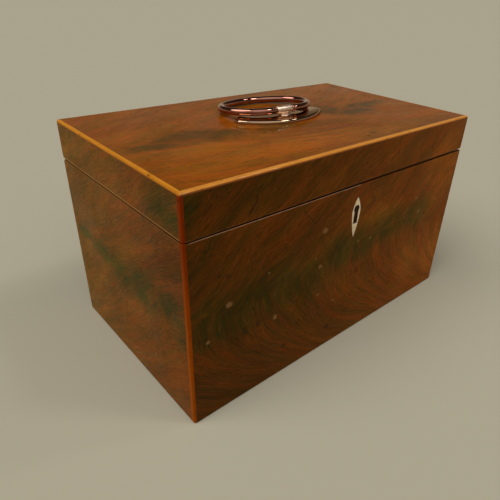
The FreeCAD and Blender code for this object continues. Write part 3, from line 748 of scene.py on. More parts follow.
    def marks(self, graph: Graph, face: Socket) -> dict[str, Feed]:
        """Builds the masks of the marks of use, and of the highlight lines painted along the seam.

        Args:
            graph: The material's graph.
            face: The place on the face.

        Returns:
            The masks of the dark marks, chips, painted highlight lines along the seam and worn arrises, by
            name.
        """
        knots = self.patches(graph, graph.drift(face, *KNOT_BEND), self.knots, soft=0.7)
        cuts = self.lines(graph, graph.drift(face, *CUT_BEND), self.scores)
        distance = self.edge_distance(graph, face)
        return {
            "dark": graph.math("MAXIMUM", graph.math("MULTIPLY", knots, KNOT_SHARE), cuts),
            "chips": self.patches(graph, graph.drift(face, *CHIP_BEND), self.chips, soft=0.5),
            # painted highlight lines along the arrises at the seam
            "seam_highlights": self.lines(graph, graph.drift(face, *SEAM_HIGHLIGHT_BEND), self.seam_highlights),
            "wear": graph.place(ARRIS_WEAR, Place=face, Distance=distance, Reach=self.wear_reach)["Wear"],
        }

    def turned_away(self, graph: Graph) -> Feed:
        """Builds the mask of the veneer's own edges and of the keyhole's walls.

        Args:
            graph: The material's graph.

        Returns:
            A mask, or 0 on the top, whose edges are all covered.
        """
        if self.panel is Panel.TOP:
            return 0.0
        x, _, z = graph.facing()
        edge = graph.math("ABSOLUTE", z)
        if self.panel is Panel.FRONT:
            edge = graph.math("MAXIMUM", edge, graph.math("ABSOLUTE", x))
        return graph.ease(edge, *EDGE_TURN)

    def dress(self, graph: Graph) -> Feeds:
        """Builds the figured wood, the marks of use, the painted highlights along the seam and the polish.

        Args:
            graph: The material's graph.

        Returns:
            The shader's feeds, by input.
        """
        face = self.face(graph)
        figure = self.figure(graph, face)
        marks = self.marks(graph, face)
        polish = graph.place(POLISH_HAZE, Place=face)
        colour = self.wood(graph, face, figure)
        # the pale lines along the seam are painted highlights, laid on like a stain
        for name, stain in {"dark": CUTS, "chips": CHIPS, "seam_highlights": self.seam_highlight_paint, "wear": WORN}.items():
            colour = graph.stain(colour, marks[name], stain)
        bare = graph.math("MAXIMUM", marks["chips"], marks["wear"])
        sunk = graph.math("MAXIMUM", marks["chips"], marks["dark"])
        haze, scratches = polish["Haze"], polish["Scratches"]
        rough = graph.plus(self.rough, (haze, 0.12), (scratches, 0.1), (marks["chips"], 0.3))
        coat = graph.plus(1.0, (haze, -0.25), (bare, -0.6))
        height = graph.plus(polish["Waves"], (figure["Pores"], -0.35), (sunk, -1.5))
        return {
            "Base Color": graph.mix(self.turned_away(graph), colour, EDGE_SHADOW),
            "Roughness": rough,
            "Coat Weight": graph.math("MULTIPLY", coat, self.polish),
            "Coat Roughness": 0.08,
            "Specular IOR Level": 0.03,
            "Normal": self.relief(graph, height, 0.05),
        }


@dataclass(frozen=True)
class Board(Finish):
    """Planed mahogany, waxed, with plain grain in one direction."""

    title: str
    grain: Axis
    light: Colour = (0.270, 0.105, 0.036)
    dark: Colour = (0.120, 0.040, 0.013)
    pore: Stain = Stain((0.030, 0.011, 0.004), 0.6)
    grime: Stain = Stain((0.090, 0.042, 0.018), 0.25)
    rough: float = 0.5
    wax: float = 0.12
    streak_share = 0.45

    def dress(self, graph: Graph) -> Feeds:
        """Builds plain grain, handling grime and wax.

        Args:
            graph: The material's graph.

        Returns:
            The shader's feeds, by input.
        """
        place = graph.grained(self.grain)
        grain = graph.place(STRAIGHT_GRAIN, Place=place)
        haze = graph.place(POLISH_HAZE, Place=place)["Haze"]
        tone = graph.blend(self.streak_share, grain["Band"], grain["Streak"])
        colour = graph.mix(tone, self.dark, self.light)
        colour = graph.stain(colour, grain["Pores"], self.pore)
        return {
            "Base Color": graph.stain(colour, haze, self.grime),
            "Roughness": graph.plus(self.rough, (haze, 0.15)),
            "Coat Weight": self.wax,
            "Coat Roughness": 0.3,
            "Normal": self.relief(graph, graph.plus(grain["Streak"], (grain["Pores"], -1.0)), 0.05),
        }


@dataclass(frozen=True)
class EdgeString(Finish):
    """A polished boxwood string along an edge, darkened by age, nicked by use, and painted with light and
    shade on its faces.
    """

    title: str
    grain: Axis
    light: Colour
    dark: Colour
    polish: float
    # tints that grow along an axis; most of them are painted light and shade on the string's faces
    fades: tuple[Fade, ...] = ()
    grime: Stain = Stain((0.090, 0.030, 0.006), 0.4)
    nick: Stain = Stain((0.050, 0.018, 0.005), 0.8)
    rough: float = 0.32
    mottle = Pattern(0.16, 3.0, 0.6)
    grimy = Pattern(0.35, 4.0, 0.7, (0.55, 0.75))
    nick_bend = (0.7, 1.0)
    nick_scale = 0.2
    nick_chance = 0.62
    nick_size = (0.16, 0.06)
    mottle_share = 0.5

    def nicks(self, graph: Graph, place: Socket) -> Socket:
        """Builds the mask of the nicks, which only some cells of a pattern have.

        Args:
            graph: The material's graph.
            place: The place on the string.

        Returns:
            The mask.
        """
        cells = graph.cells(graph.drift(place, *self.nick_bend), self.nick_scale)
        chance = graph.math("GREATER_THAN", graph.split(cells["Color"])[0], self.nick_chance)
        return graph.math("MULTIPLY", graph.ease(cells["Distance"], *self.nick_size), chance)

    def dress(self, graph: Graph) -> Feeds:
        """Builds fine grain, fades that mostly paint light and shade on its faces, grime along the length and
        small nicks.

        Args:
            graph: The material's graph.

        Returns:
            The shader's feeds, by input.
        """
        parts = graph.split(graph.millimetres())
        place = graph.grained(self.grain)
        streak = graph.place(STRAIGHT_GRAIN, Place=place)["Streak"]
        haze = graph.place(POLISH_HAZE, Place=place)["Haze"]
        nicks = self.nicks(graph, place)
        tone = graph.blend(self.mottle_share, streak, self.mottle.at(graph, place))
        colour = graph.mix(tone, self.dark, self.light)
        for fade in self.fades:
            share = graph.ease(parts[fade.axis.value[0]], fade.start, fade.end)
            colour = graph.mix(share, colour, graph.tinted(colour, fade.tint))
        colour = graph.stain(colour, self.grimy.at(graph, place), self.grime)
        return {
            "Base Color": graph.stain(colour, nicks, self.nick),
            "Roughness": graph.plus(self.rough, (haze, 0.15)),
            "Coat Weight": self.polish,
            "Coat Roughness": 0.1,
            "Specular IOR Level": 0.02,
            "Normal": self.relief(graph, graph.plus(streak, (nicks, -2.0)), 0.06),
        }


@dataclass(frozen=True)
class Bone(Finish):
    """Polished bone, yellowed, with fine canals that run along the piece."""

    title: str
    light: Colour = (0.840, 0.690, 0.460)
    dark: Colour = (0.620, 0.460, 0.270)
    canal: Stain = Stain((0.170, 0.095, 0.045), 0.5)
    wall_dark: Colour = (0.035, 0.018, 0.008)
    # how far the side walls are darkened: the inlay's joint and the keyhole's walls
    grime: float = 0.0
    rough: float = 0.3
    yellowing = Pattern(0.3, 4.0, 0.6, (0.35, 0.75))
    yellow_share = 0.6
    wall_turn = (0.5, 0.1)

    def dress(self, graph: Graph) -> Feeds:
        """Builds streaks, canals and the darkening of the side walls.

        Args:
            graph: The material's graph.

        Returns:
            The shader's feeds, by input.
        """
        place = graph.grained(Axis.Z)
        grain = graph.place(STRAIGHT_GRAIN, Place=place)
        yellowing = self.yellowing.at(graph, place)
        tone = graph.blend(self.yellow_share, grain["Streak"], yellowing)
        colour = graph.mix(tone, self.light, self.dark)
        colour = graph.stain(colour, grain["Pores"], self.canal)
        outwards = graph.math("ABSOLUTE", graph.facing()[1])
        walls = graph.ease(outwards, *self.wall_turn, 0.0, self.grime)
        return {
            "Base Color": graph.mix(walls, colour, self.wall_dark),
            "Roughness": graph.plus(self.rough, (yellowing, 0.2)),
            "Coat Weight": 0.3,
            "Coat Roughness": 0.15,
            "Normal": self.relief(graph, graph.math("MULTIPLY", grain["Pores"], -1.0), 0.04),
        }


@dataclass(frozen=True)
class Metal(Finish):
    """Brass or steel with the tarnish, spots and scratches of age."""

    title: str
    bright: Colour
    dull: Colour
    spot: Colour
    rough: float
    tarnish: float
    scratch_depth: float = 0.01
    edge: Colour = (1.0, 1.0, 1.0)
    lacquer: float = 0.0

    def dress(self, graph: Graph) -> Feeds:
        """Builds bright metal, tarnish, scratches and lacquer.

        Args:
            graph: The material's graph.

        Returns:
            The shader's feeds, by input.
        """
        age = graph.place(TARNISH, Place=graph.millimetres())
        cloud = graph.math("MULTIPLY", age["Cloud"], self.tarnish)
        colour = graph.mix(cloud, self.bright, self.dull)
        height = graph.plus(graph.math("MULTIPLY", age["Spots"], -0.6), (age["Scratches"], -0.4))
        return {
            "Base Color": graph.stain(colour, age["Spots"], Stain(self.spot, self.tarnish)),
            "Metallic": 1.0,
            "Roughness": graph.plus(self.rough, (cloud, 0.25), (age["Scratches"], 0.08)),
            "Specular Tint": self.edge,
            "Coat Weight": self.lacquer,
            "Coat IOR": 1.7,
            "Normal": self.relief(graph, height, self.scratch_depth),
        }


@dataclass(frozen=True)
class Foil(Finish):
    """Dull tea-chest foil, pressed into the compartment by hand."""

    title: str
    bright: Colour = (0.460, 0.450, 0.430)
    bloom: Colour = (0.240, 0.230, 0.210)
    spot: Stain = Stain((0.160, 0.120, 0.080), 0.5)
    rough: float = 0.34

    def dress(self, graph: Graph) -> Feeds:
        """Builds creases, dents and grey bloom.

        Args:
            graph: The material's graph.

        Returns:
            The shader's feeds, by input.
        """
        place = graph.millimetres()
        folds = graph.place(CRUMPLE, Place=place)
        age = graph.place(TARNISH, Place=place)
        colour = graph.mix(age["Cloud"], self.bright, self.bloom)
        return {
            "Base Color": graph.stain(colour, age["Spots"], self.spot),
            "Metallic": graph.ease(age["Cloud"], 0.0, 1.0, 1.0, 0.75),
            "Roughness": graph.plus(self.rough, (age["Cloud"], 0.25)),
            "Normal": self.relief(graph, graph.plus(folds["Dents"], (folds["Creases"], 0.5)), 0.9),
        }


@dataclass(frozen=True)
class LiningPaper(Finish):
    """Faded lining paper with fibres, stains and pasted wrinkles."""

    title: str
    dark: Colour = (0.420, 0.235, 0.130)
    light: Colour = (0.520, 0.330, 0.200)
    damp: Stain = Stain((0.240, 0.125, 0.060), 0.45)
    rough: float = 0.75
    fibres = Pattern(2.2, 3.0, drawn=(0.25, 1.0, 1.0), bend=(0.2, 5.0))
    stains = Pattern(0.03, 4.0, 0.65, (0.45, 0.7))

    def dress(self, graph: Graph) -> Feeds:
        """Builds fibres, stains and wrinkles.

        Args:
            graph: The material's graph.

        Returns:
            The shader's feeds, by input.
        """
        place = graph.millimetres()
        dents = graph.place(CRUMPLE, Place=place)["Dents"]
        fibres = self.fibres.at(graph, place)
        colour = graph.mix(fibres, self.dark, self.light)
        return {
            "Base Color": graph.stain(colour, self.stains.at(graph, place), self.damp),
            "Roughness": graph.plus(self.rough, (fibres, 0.15)),
            "Normal": self.relief(graph, graph.plus(dents, (fibres, 0.3)), 0.25),
        }


FRONT_VENEER = Veneer(
    title="front_veneer",
    panel=Panel.FRONT,
    spine=57.0,
    upper=(1.5, 0.0),
    lower=(0.0, 0.016),
    tone=0.02,
    painted_light_slope=0.2,
    polish=0.05,
    cloud=(0.54, 1.00, 1.20),
    clouds=(
        Blotch(-88, 54, 12, 14),
        Blotch(-66, 53, 18, 13),
        Blotch(-45, 56, 17, 13),
        Blotch(-27, 51, 12, 12),
        Blotch(-10, 60, 14, 11),
        Blotch(10, 60, 16, 10),
        Blotch(34, 63, 17, 10),
        Blotch(62, 63, 17, 9),
        Blotch(-98, 109, 6, 9),
    ),
    lights=(Blotch(92, 25, 16, 18), Blotch(62, 28, 12, 24), Blotch(22, 74, 18, 5), Blotch(85, 88, 20, 16)),
    chips=(
        Blotch(-79.5, 59.8, 1.6, 1.4),
        Blotch(-91.0, 45.0, 1.0, 1.0),
        Blotch(-52.0, 39.5, 1.1, 1.4),
        Blotch(-22.3, 57.0, 1.0, 1.0),
        Blotch(-26.0, 63.0, 0.5, 0.6),
        Blotch(-21.0, 77.2, 1.7, 1.4),
        Blotch(7.0, 62.0, 0.8, 0.8),
        Blotch(17.5, 60.6, 0.8, 0.7),
        Blotch(58.5, 73.6, 1.2, 0.8),
        Blotch(64.0, 63.6, 1.4, 1.1),
        Blotch(81.0, 67.6, 2.0, 0.7),
        Blotch(66.0, 78.0, 0.6, 0.4),
        Blotch(-9.5, 30.2, 0.8, 0.6),
        Blotch(-22.0, 39.4, 0.8, 0.6),
        Blotch(-57.0, 67.0, 0.5, 0.5),
    ),
    knots=(
        Blotch(-84.3, 76.3, 0.9, 0.7),
        Blotch(-79.8, 74.6, 1.2, 1.0),
        Blotch(-45.0, 17.6, 1.6, 1.4),
        Blotch(-12.0, 13.0, 1.7, 1.6),
        Blotch(-71.0, 40.0, 1.6, 2.8),
        Blotch(-62.8, 41.0, 1.4, 1.8),
        Blotch(8.5, 42.5, 1.2, 2.0),
    ),
    scores=(
        Score((-64.8, 107.4), (-65.4, 104.2), 0.4),
        Score((-65.4, 104.2), (-69.4, 99.0), 0.45),
        Score((-37.0, 92.0), (-28.5, 83.0), 0.22),
    ),
    # pale lines along the case's top arris under the seam: a painted highlight
    seam_highlights=(Score((-97.0, 96.1), (-40.0, 95.9), 0.4), Score((-40.0, 95.9), (2.0, 95.6), 0.35)),
)
TOP_VENEER = Veneer(
    title="top_veneer",
    panel=Panel.TOP,
    spine=-6.0,
    upper=(2.2, 0.0),
    lower=(6.0, 0.0),
    tone=0.34,
    painted_light_slope=-0.02,
    polish=0.34,
    hue=(0.99, 0.95, 0.5),
    cloud=(0.38, 0.60, 1.10),
    clouds=(
        Blotch(-84, -8, 10, 6),
        Blotch(-62, -2, 17, 7),
        Blotch(-44, -9, 15, 7),
        Blotch(-18, -14, 16, 5),
        Blotch(34, 0, 10, 10),
        Blotch(48, -13, 14, 5),
        Blotch(68, -4, 18, 5),
    ),
    lights=(Blotch(-62, -24, 24, 7), Blotch(-40, -40, 40, 8)),
    chips=(Blotch(-57.0, -34.0, 0.5, 0.5), Blotch(-14.0, -31.0, 1.6, 0.4)),
    knots=(
        Blotch(20.0, -48.0, 2.2, 1.4),
        Blotch(13.5, -50.5, 1.2, 0.8),
        Blotch(-89.5, -33.5, 0.7, 0.5),
    ),
    scores=(
        Score((-18.0, -30.0), (4.0, -32.5), 0.4),
        Score((4.0, -32.5), (26.0, -31.0), 0.35),
        Score((-21.0, -38.5), (-12.0, -40.0), 0.45),
    ),
)
LEFT_VENEER = Veneer(
    title="left_veneer",
    panel=Panel.SIDE,
    spine=55.0,
    upper=(-1.6, 0.0),
    lower=(1.0, 0.004),
    tone=0.18,
    painted_light_slope=0.06,
    polish=0.15,
    hue=(0.98, 1.18, 0.5),
    cloud=(0.40, 0.86, 0.95),
    warmth=-0.4,
    clouds=(
        Blotch(43, 57, 10, 3),
        Blotch(22, 57.5, 14, 5),
        Blotch(2, 54, 13, 9),
        Blotch(-20, 56, 14, 11),
        Blotch(-42, 59, 10, 7),
        Blotch(-52, 52, 8, 9),
        Blotch(-46, 106, 14, 9),
    ),
    shades=(Blotch(-50, 82, 22, 18),),
    chips=(Blotch(-25.0, 20.0, 0.9, 0.7),),
    # a pale line along the lid's lower arris over the seam: a painted highlight, and its colour
    seam_highlights=(Score((-57.0, 96.95), (58.0, 97.1), 0.55),),
    seam_highlight_paint=Stain((0.440, 0.220, 0.050), 0.7),
    half_length=58.25,
)
RIGHT_VENEER = Veneer(
    title="right_veneer",
    panel=Panel.SIDE,
    spine=52.0,
    upper=(-1.4, 0.0),
    lower=(0.9, 0.004),
    tone=0.2,
    painted_light_slope=0.06,
    polish=0.2,
    hue=(0.98, 1.18, 0.5),
    warmth=-0.2,
    clouds=(Blotch(35, 54, 16, 5), Blotch(6, 50, 16, 8), Blotch(-30, 54, 18, 8)),
    lights=(Blotch(20, 82, 24, 10),),
    chips=(Blotch(22.0, 30.0, 0.9, 0.8), Blotch(-20.0, 74.0, 0.7, 0.7)),
    half_length=58.25,
)
BACK_VENEER = Veneer(
    title="back_veneer",
    panel=Panel.BACK,
    spine=-30.0,
    upper=(4.0, 0.0),
    lower=(4.0, 0.0),
    tone=0.2,
    painted_light_slope=0.05,
    polish=0.2,
    clouds=(Blotch(-40, 40, 50, 6), Blotch(50, 66, 40, 5)),
    chips=(Blotch(30.0, 22.0, 0.9, 0.7), Blotch(-64.0, 71.0, 0.8, 0.8)),
)
BOARD_X = Board("board_grain_x", Axis.X)
BOARD_Y = Board("board_grain_y", Axis.Y)
INNER_LID_WOOD = Board(
    title="inner_lid_wood",
    grain=Axis.X,
    light=(0.300, 0.110, 0.034),
    dark=(0.130, 0.040, 0.011),
    rough=0.34,
    wax=0.5,
)
STRING_X = EdgeString(
    title="string_along_front",
    grain=Axis.X,
    light=(0.790, 0.315, 0.046),
    dark=(0.540, 0.195, 0.024),
    polish=0.6,
    # painted shade: the front face under the arris is darkened
    fades=(Fade(Axis.Z, 116.35, 115.6, (0.28, 0.16, 0.10)),),
)
STRING_Y = EdgeString(
    title="string_along_end",
    grain=Axis.Y,
    light=(0.680, 0.260, 0.020),
    dark=(0.460, 0.160, 0.010),
    polish=0.15,
    # painted shade: the side face under the arris is darkened
    fades=(Fade(Axis.Z, 116.4, 115.2, (0.66, 0.54, 0.40)),),
)
STRING_Z = EdgeString(
    title="string_upright",
    grain=Axis.Z,
    light=(0.318, 0.0655, 0.0008),
    dark=(0.173, 0.0300, 0.0004),
    polish=0.0,
    fades=(
        # darker and redder towards the top
        Fade(Axis.Z, 20.0, 120.0, (0.63, 0.33, 0.30)),
        # painted light: the string is lightened away from the front face, on the sides that face the ends
        Fade(Axis.Y, -58.1, -56.8, (1.28, 1.45, 1.00)),
    ),
)
BONE = Bone("yellowed_bone")
INLAID_BONE = Bone("inlaid_bone", grime=0.9)
RING_BRASS = Metal(
    title="ring_brass",
    bright=(0.340, 0.102, 0.046),
    dull=(0.220, 0.064, 0.028),
    spot=(0.100, 0.042, 0.026),
    rough=0.05,
    tarnish=0.25,
    scratch_depth=0.002,
    edge=(0.72, 0.38, 0.26),
    lacquer=1.0,
)
# the lug's brass, much paler than the ring's: a painted highlight across the whole barrel, spread by its
# roughness
LUG_HIGHLIGHT_BRASS = Metal(
    title="lug_brass_painted_highlight",
    bright=(0.920, 0.690, 0.530),
    dull=(0.720, 0.500, 0.350),
    spot=(0.300, 0.190, 0.120),
    rough=0.4,
    tarnish=0.2,
    scratch_depth=0.002,
)
PLATE_BRASS = Metal(
    title="plate_brass",
    bright=(0.420, 0.245, 0.130),
    dull=(0.300, 0.170, 0.085),
    spot=(0.130, 0.085, 0.040),
    rough=0.05,
    tarnish=0.25,
    scratch_depth=0.002,
    edge=(0.74, 0.52, 0.33),
    lacquer=0.6,
)
WORKED_BRASS = Metal(
    title="worked_brass",
    bright=(0.740, 0.520, 0.250),
    dull=(0.360, 0.230, 0.100),
    spot=(0.120, 0.070, 0.030),
    rough=0.3,
    tarnish=0.7,
)
FILED_STEEL = Metal(
    title="filed_steel",
    bright=(0.420, 0.410, 0.390),
    dull=(0.200, 0.180, 0.160),
    spot=(0.160, 0.070, 0.030),
    rough=0.34,
    tarnish=0.6,
)
TEA_FOIL = Foil("tea_chest_foil")
PAPER = LiningPaper("lining_paper")


@dataclass
class Carpentry:
    """The woods, linings and metals of the case and lid, whose CAD shapes are kept."""

    nodes: dict[str, bpy.types.Object]
    # a node takes the first finish of which a word is in its name
    finishes: tuple[tuple[Finish, tuple[str, ...]], ...] = (
        (TOP_VENEER, ("lid_top_veneer",)),
        (FRONT_VENEER, ("front_veneer",)),
        (BACK_VENEER, ("back_veneer",)),
        (LEFT_VENEER, ("left_veneer",)),
        (RIGHT_VENEER, ("right_veneer",)),
        (STRING_X, ("lid_string_front",)),
        (STRING_Z, ("lid_string_corner", "case_string")),
        (STRING_Y, ("lid_string",)),
        (INLAID_BONE, ("escutcheon",)),
        (PAPER, ("lid_lining",)),
        (TEA_FOIL, ("foil",)),
        (BONE, ("knob",)),
        (INNER_LID_WOOD, ("inner_lid",)),
        (PLATE_BRASS, ("handle_plate",)),
        (LUG_HIGHLIGHT_BRASS, ("handle_lug",)),
        (RING_BRASS, ("handle_loop",)),
        (FILED_STEEL, ("lock_bolt", "lock_spring", "_pin")),
        (WORKED_BRASS, ("handle", "hinge", "lock", "link", "screws")),
        (BOARD_Y, ("left_board", "right_board", "left_rail", "right_rail", "partition")),
        (BOARD_X, ("",)),
    )

    def finish_of(self, name: str) -> Finish:
        """Returns the finish of the CAD node of a name."""
        return next(finish for finish, words in self.finishes if any(word in name for word in words))

    def dress(self) -> None:
        """Gives every CAD node its finish."""
        for name, node in self.nodes.items():
            finish = self.finish_of(name)
            for slot in node.material_slots:
                slot.material = finish.material()
            LOG.info("%s: %s", name, finish.title)


def rounded(mesh: Mesh, edges: Iterable[bmesh.types.BMEdge], offset: float, segments: int) -> None:
    """Rounds some edges of a mesh."""
    settings = {"offset": offset, "segments": segments, "profile": 0.5, "affect": "EDGES", "material": -1}
    bmesh.ops.bevel(mesh, geom=list(edges), **settings)


def rod(mesh: Mesh, radii: tuple[float, float], depth: float, matrix: Matrix) -> list:
    """Adds a closed rod with a radius at each end and returns its vertices."""
    settings = {"cap_ends": True, "segments": ROD_SIDES, "depth": depth, "matrix": matrix}
    return bmesh.ops.create_cone(mesh, radius1=radii[0], radius2=radii[1], **settings)["verts"]


def swept(mesh: Mesh, items: list, centre: tuple[float, float, float], turn: float, steps: int) -> list:
    """Sweeps part of a mesh round an upright axis and returns what it ends in."""
    settings = {"cent": centre, "axis": (0, 0, 1), "angle": turn, "steps": steps}
    return bmesh.ops.spin(mesh, geom=items, **settings)["geom_last"]


def only(items: Iterable[object], kind: type) -> list:
    """Returns those items that are of one kind."""
    return [item for item in items if isinstance(item, kind)]


@dataclass(frozen=True)
class Oval:
    """An oval of tangent arcs that starts at the origin, heading right, with its middle behind."""

    half_width: float
    half_depth: float
    end_radius: float
    straight: float

    def arcs(self) -> list[tuple[tuple[float, float, float], float]]:
        """Works out the front, side and back arcs of the right half.

        Returns:
            The centre and turn of each.
        """
        side_x = self.half_width - self.end_radius
        spare = self.half_depth**2 - self.end_radius**2
        deep = 2 * (self.half_depth - self.end_radius)
        front_radius = ((side_x - self.straight) ** 2 + spare) / deep
        back_radius = (side_x**2 + spare) / deep
        front_turn = math.atan2(side_x - self.straight, front_radius - self.half_depth)
        back_turn = math.atan2(side_x, back_radius - self.half_depth)
        return [
            ((self.straight, front_radius, 0.0), front_turn),
            ((side_x, self.half_depth, 0.0), math.pi - front_turn - back_turn),
            ((0.0, 2 * self.half_depth - back_radius, 0.0), back_turn),
        ]


@dataclass
class RingHandle:
    """The brass ring handle: its oval plate, the lug on it and the ring, in millimetres."""

    lid_top: float
    yaw: float = math.radians(-4.2)
    plate: Oval = Oval(28.9, 13.6, 4.0, 0.0)
    plate_y: float = 0.8
    plate_height: float = 2.1
    plate_steps: int = 16
    plate_round: tuple[float, int] = (1.3, 6)
    lug_y: float = -2.0
    axis_height: float = 4.75
    lug_length: float = 10.0
    lug_radius: float = 2.1
    lug_round: tuple[float, int] = (0.5, 4)
    neck: tuple[float, float] = (4.6, 2.6)
    neck_round: tuple[float, int] = (0.4, 3)
    foot_radii: tuple[float, float] = (3.2, 2.8)
    foot_height: float = 0.4
    foot_round: tuple[float, int] = (0.15, 2)
    stem_radius: float = 1.75
    stem_depth: float = 7.5
    stem_lap: float = 0.5
    ring: Oval = Oval(26.6, 17.7, 13.4, 8.0)
    wire: float = 1.9
    wire_sides: int = 32
    wire_end: float = 1.65
    # steps along the wire from its end, and the radius after each
    collar: tuple[tuple[float, float], ...] = (
        (0.12, 1.95),
        (0.12, 2.03),
        (0.55, 2.03),
        (0.12, 1.97),
        (0.10, 1.78),
        (0.15, 1.80),
        (0.12, 1.90),
    )
    steps_each_radian: int = 16
    least_steps: int = 6
    end_gap: float = 0.25
    rest_gap: float = 0.25
    merge: float = 0.001
    sharp: float = math.radians(40.0)

    def placed(self, tilt: float = 0.0) -> Matrix:
        """Works out the move from the lug's axis to the lid.

        Args:
            tilt: How far the piece is turned down about that axis.

        Returns:
            The move, from millimetres to metres.
        """
        spot = Vector((0.0, self.lug_y, self.lid_top + self.axis_height)) * MM
        turn = Matrix.Rotation(self.yaw, 4, "Z") @ Matrix.Rotation(-tilt, 4, "X")
        return Matrix.Translation(spot) @ turn @ Matrix.Scale(MM, 4)

    def piece(self, mesh: Mesh, name: str, move: Matrix, body: str, finish: Finish) -> None:
        """Makes a finished piece that stands for the CAD node of the same part.

        Args:
            mesh: The shape, in millimetres.
            name: The CAD node that it stands for.
            move: The shape's move into place.
            body: The body that it rides on.
            finish: Its finish.
        """
        bmesh.ops.remove_doubles(mesh, verts=mesh.verts, dist=self.merge)
        bmesh.ops.recalc_face_normals(mesh, faces=mesh.faces)
        bmesh.ops.transform(mesh, matrix=move, verts=mesh.verts)
        for face in mesh.faces:
            face.smooth = True
        data = bpy.data.meshes.new(name + "_turned")
        mesh.to_mesh(data)
        mesh.free()
        data.set_sharp_from_angle(angle=self.sharp)
        piece = bpy.data.objects.new(name + "_turned", data)
        bpy.context.scene.collection.objects.link(piece)
        data.materials.append(finish.material())
        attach(piece, body)
        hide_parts(name)
        LOG.info("%s: %d faces", piece.name, len(data.polygons))

    def build_plate(self) -> None:
        """Builds the oval plate with its rounded edge."""
        mesh = bmesh.new()
        last = bmesh.ops.create_vert(mesh, co=(0.0, 0.0, 0.0))["vert"]
        for centre, turn in self.plate.arcs():
            last = only(swept(mesh, last, centre, turn, self.plate_steps), bmesh.types.BMVert)
        bmesh.ops.mirror(mesh, geom=mesh.verts[:] + mesh.edges[:], axis="X", merge_dist=self.merge)
        bmesh.ops.remove_doubles(mesh, verts=mesh.verts, dist=self.merge)
        face = bmesh.ops.contextual_create(mesh, geom=mesh.edges[:])["faces"][0]
        top = only(bmesh.ops.extrude_face_region(mesh, geom=[face])["geom"], bmesh.types.BMVert)
        bmesh.ops.translate(mesh, vec=(0.0, 0.0, self.plate_height), verts=top)
        middle = self.plate_height / 2
        rim = [edge for edge in mesh.edges if all(vert.co.z > middle for vert in edge.verts)]
        rounded(mesh, rim, *self.plate_round)
        spot = Vector((0.0, self.plate_y, self.lid_top)) * MM
        turn = Matrix.Rotation(self.yaw, 4, "Z") @ Matrix.Scale(MM, 4)
        move = Matrix.Translation(spot) @ turn @ Matrix.Translation((0.0, -self.plate.half_depth, 0.0))
        self.piece(mesh, "handle_plate", move, "lid", PLATE_BRASS)

    def build_lug(self) -> None:
        """Builds the lug: a barrel with rounded ends on a neck, a foot and a stem."""
        mesh = bmesh.new()
        lying = Matrix.Rotation(math.radians(90.0), 4, "Y")
        rod(mesh, (self.lug_radius, self.lug_radius), self.lug_length, lying)
        ends = [edge for edge in mesh.edges if any(len(face.verts) > 4 for face in edge.link_faces)]
        rounded(mesh, ends, *self.lug_round)
        base = self.plate_height - self.axis_height
        size = Matrix.Diagonal((*self.neck, -base, 1.0))
        neck = bmesh.ops.create_cube(mesh, size=1.0, matrix=Matrix.Translation((0.0, 0.0, base / 2)) @ size)
        rounded(mesh, {edge for vert in neck["verts"] for edge in vert.link_edges}, *self.neck_round)
        low = Matrix.Translation((0.0, 0.0, base + self.foot_height / 2))
        foot = rod(mesh, self.foot_radii, self.foot_height, low)
        upper = [vert for vert in foot if vert.co.z > base + self.foot_height / 2]
        rounded(mesh, {edge for vert in upper for edge in vert.link_edges}, *self.foot_round)
        sunk = base - self.plate_height - self.stem_depth / 2 + self.stem_lap
        rod(mesh, (self.stem_radius, self.stem_radius), self.stem_depth, Matrix.Translation((0.0, 0.0, sunk)))
        self.piece(mesh, "handle_lug", self.placed(), "lid", LUG_HIGHLIGHT_BRASS)

    def build_ring(self) -> None:
        """Builds the ring: a wire with a collar at each end, bent through tangent arcs."""
        mesh = bmesh.new()
        start = self.lug_length / 2 + self.end_gap
        upright = Matrix.Translation((start, 0.0, 0.0)) @ Matrix.Rotation(math.radians(90.0), 4, "Y")
        settings = {"cap_ends": True, "segments": self.wire_sides, "matrix": upright}
        bmesh.ops.create_circle(mesh, radius=self.wire_end, **settings)
        last: list[bmesh.types.BMEdge] = mesh.edges[:]
        collar_length = sum(advance for advance, _ in self.collar)
        straight = (self.ring.straight - start - collar_length, self.wire)
        radius = self.wire_end
        for advance, width in (*self.collar, straight):
            drawn = bmesh.ops.extrude_edge_only(mesh, edges=last)["geom"]
            verts = only(drawn, bmesh.types.BMVert)
            last = only(drawn, bmesh.types.BMEdge)
            bmesh.ops.translate(mesh, vec=(advance, 0.0, 0.0), verts=verts)
            bmesh.ops.scale(mesh, vec=(1.0, width / radius, width / radius), verts=verts)
            radius = width
        for centre, turn in self.ring.arcs():
            steps = max(self.least_steps, round(turn * self.steps_each_radian))
            last = only(swept(mesh, last, centre, turn, steps), bmesh.types.BMEdge)
        whole = mesh.verts[:] + mesh.edges[:] + mesh.faces[:]
        bmesh.ops.mirror(mesh, geom=whole, axis="X", merge_dist=self.merge)
        drop = self.axis_height - self.wire - self.rest_gap
        tilt = math.asin(drop / (2 * self.ring.half_depth))
        self.piece(mesh, "handle_loop", self.placed(tilt), "handle", RING_BRASS)

    def build(self) -> None:
        """Builds the plate, the lug and the ring."""
        self.build_plate()
        self.build_lug()
        self.build_ring()


@dataclass(frozen=True)
class Lamp:
    """A soft lamp that is far away: the direction to it, its strength, and how wide it looks in degrees."""

    name: str
    towards: tuple[float, float, float]
    strength: float
    spread: float

    def hang(self) -> None:
        """Adds the lamp, whose strength of 1 shows a colour as written."""
        data = bpy.data.lights.new(self.name, "SUN")
        data.energy = self.strength * math.pi
        data.angle = math.radians(self.spread)
        lamp = bpy.data.objects.new(self.name, data)
        lamp.rotation_euler = Vector(self.towards).to_track_quat("Z", "Y").to_euler()
        bpy.context.scene.collection.objects.link(lamp)


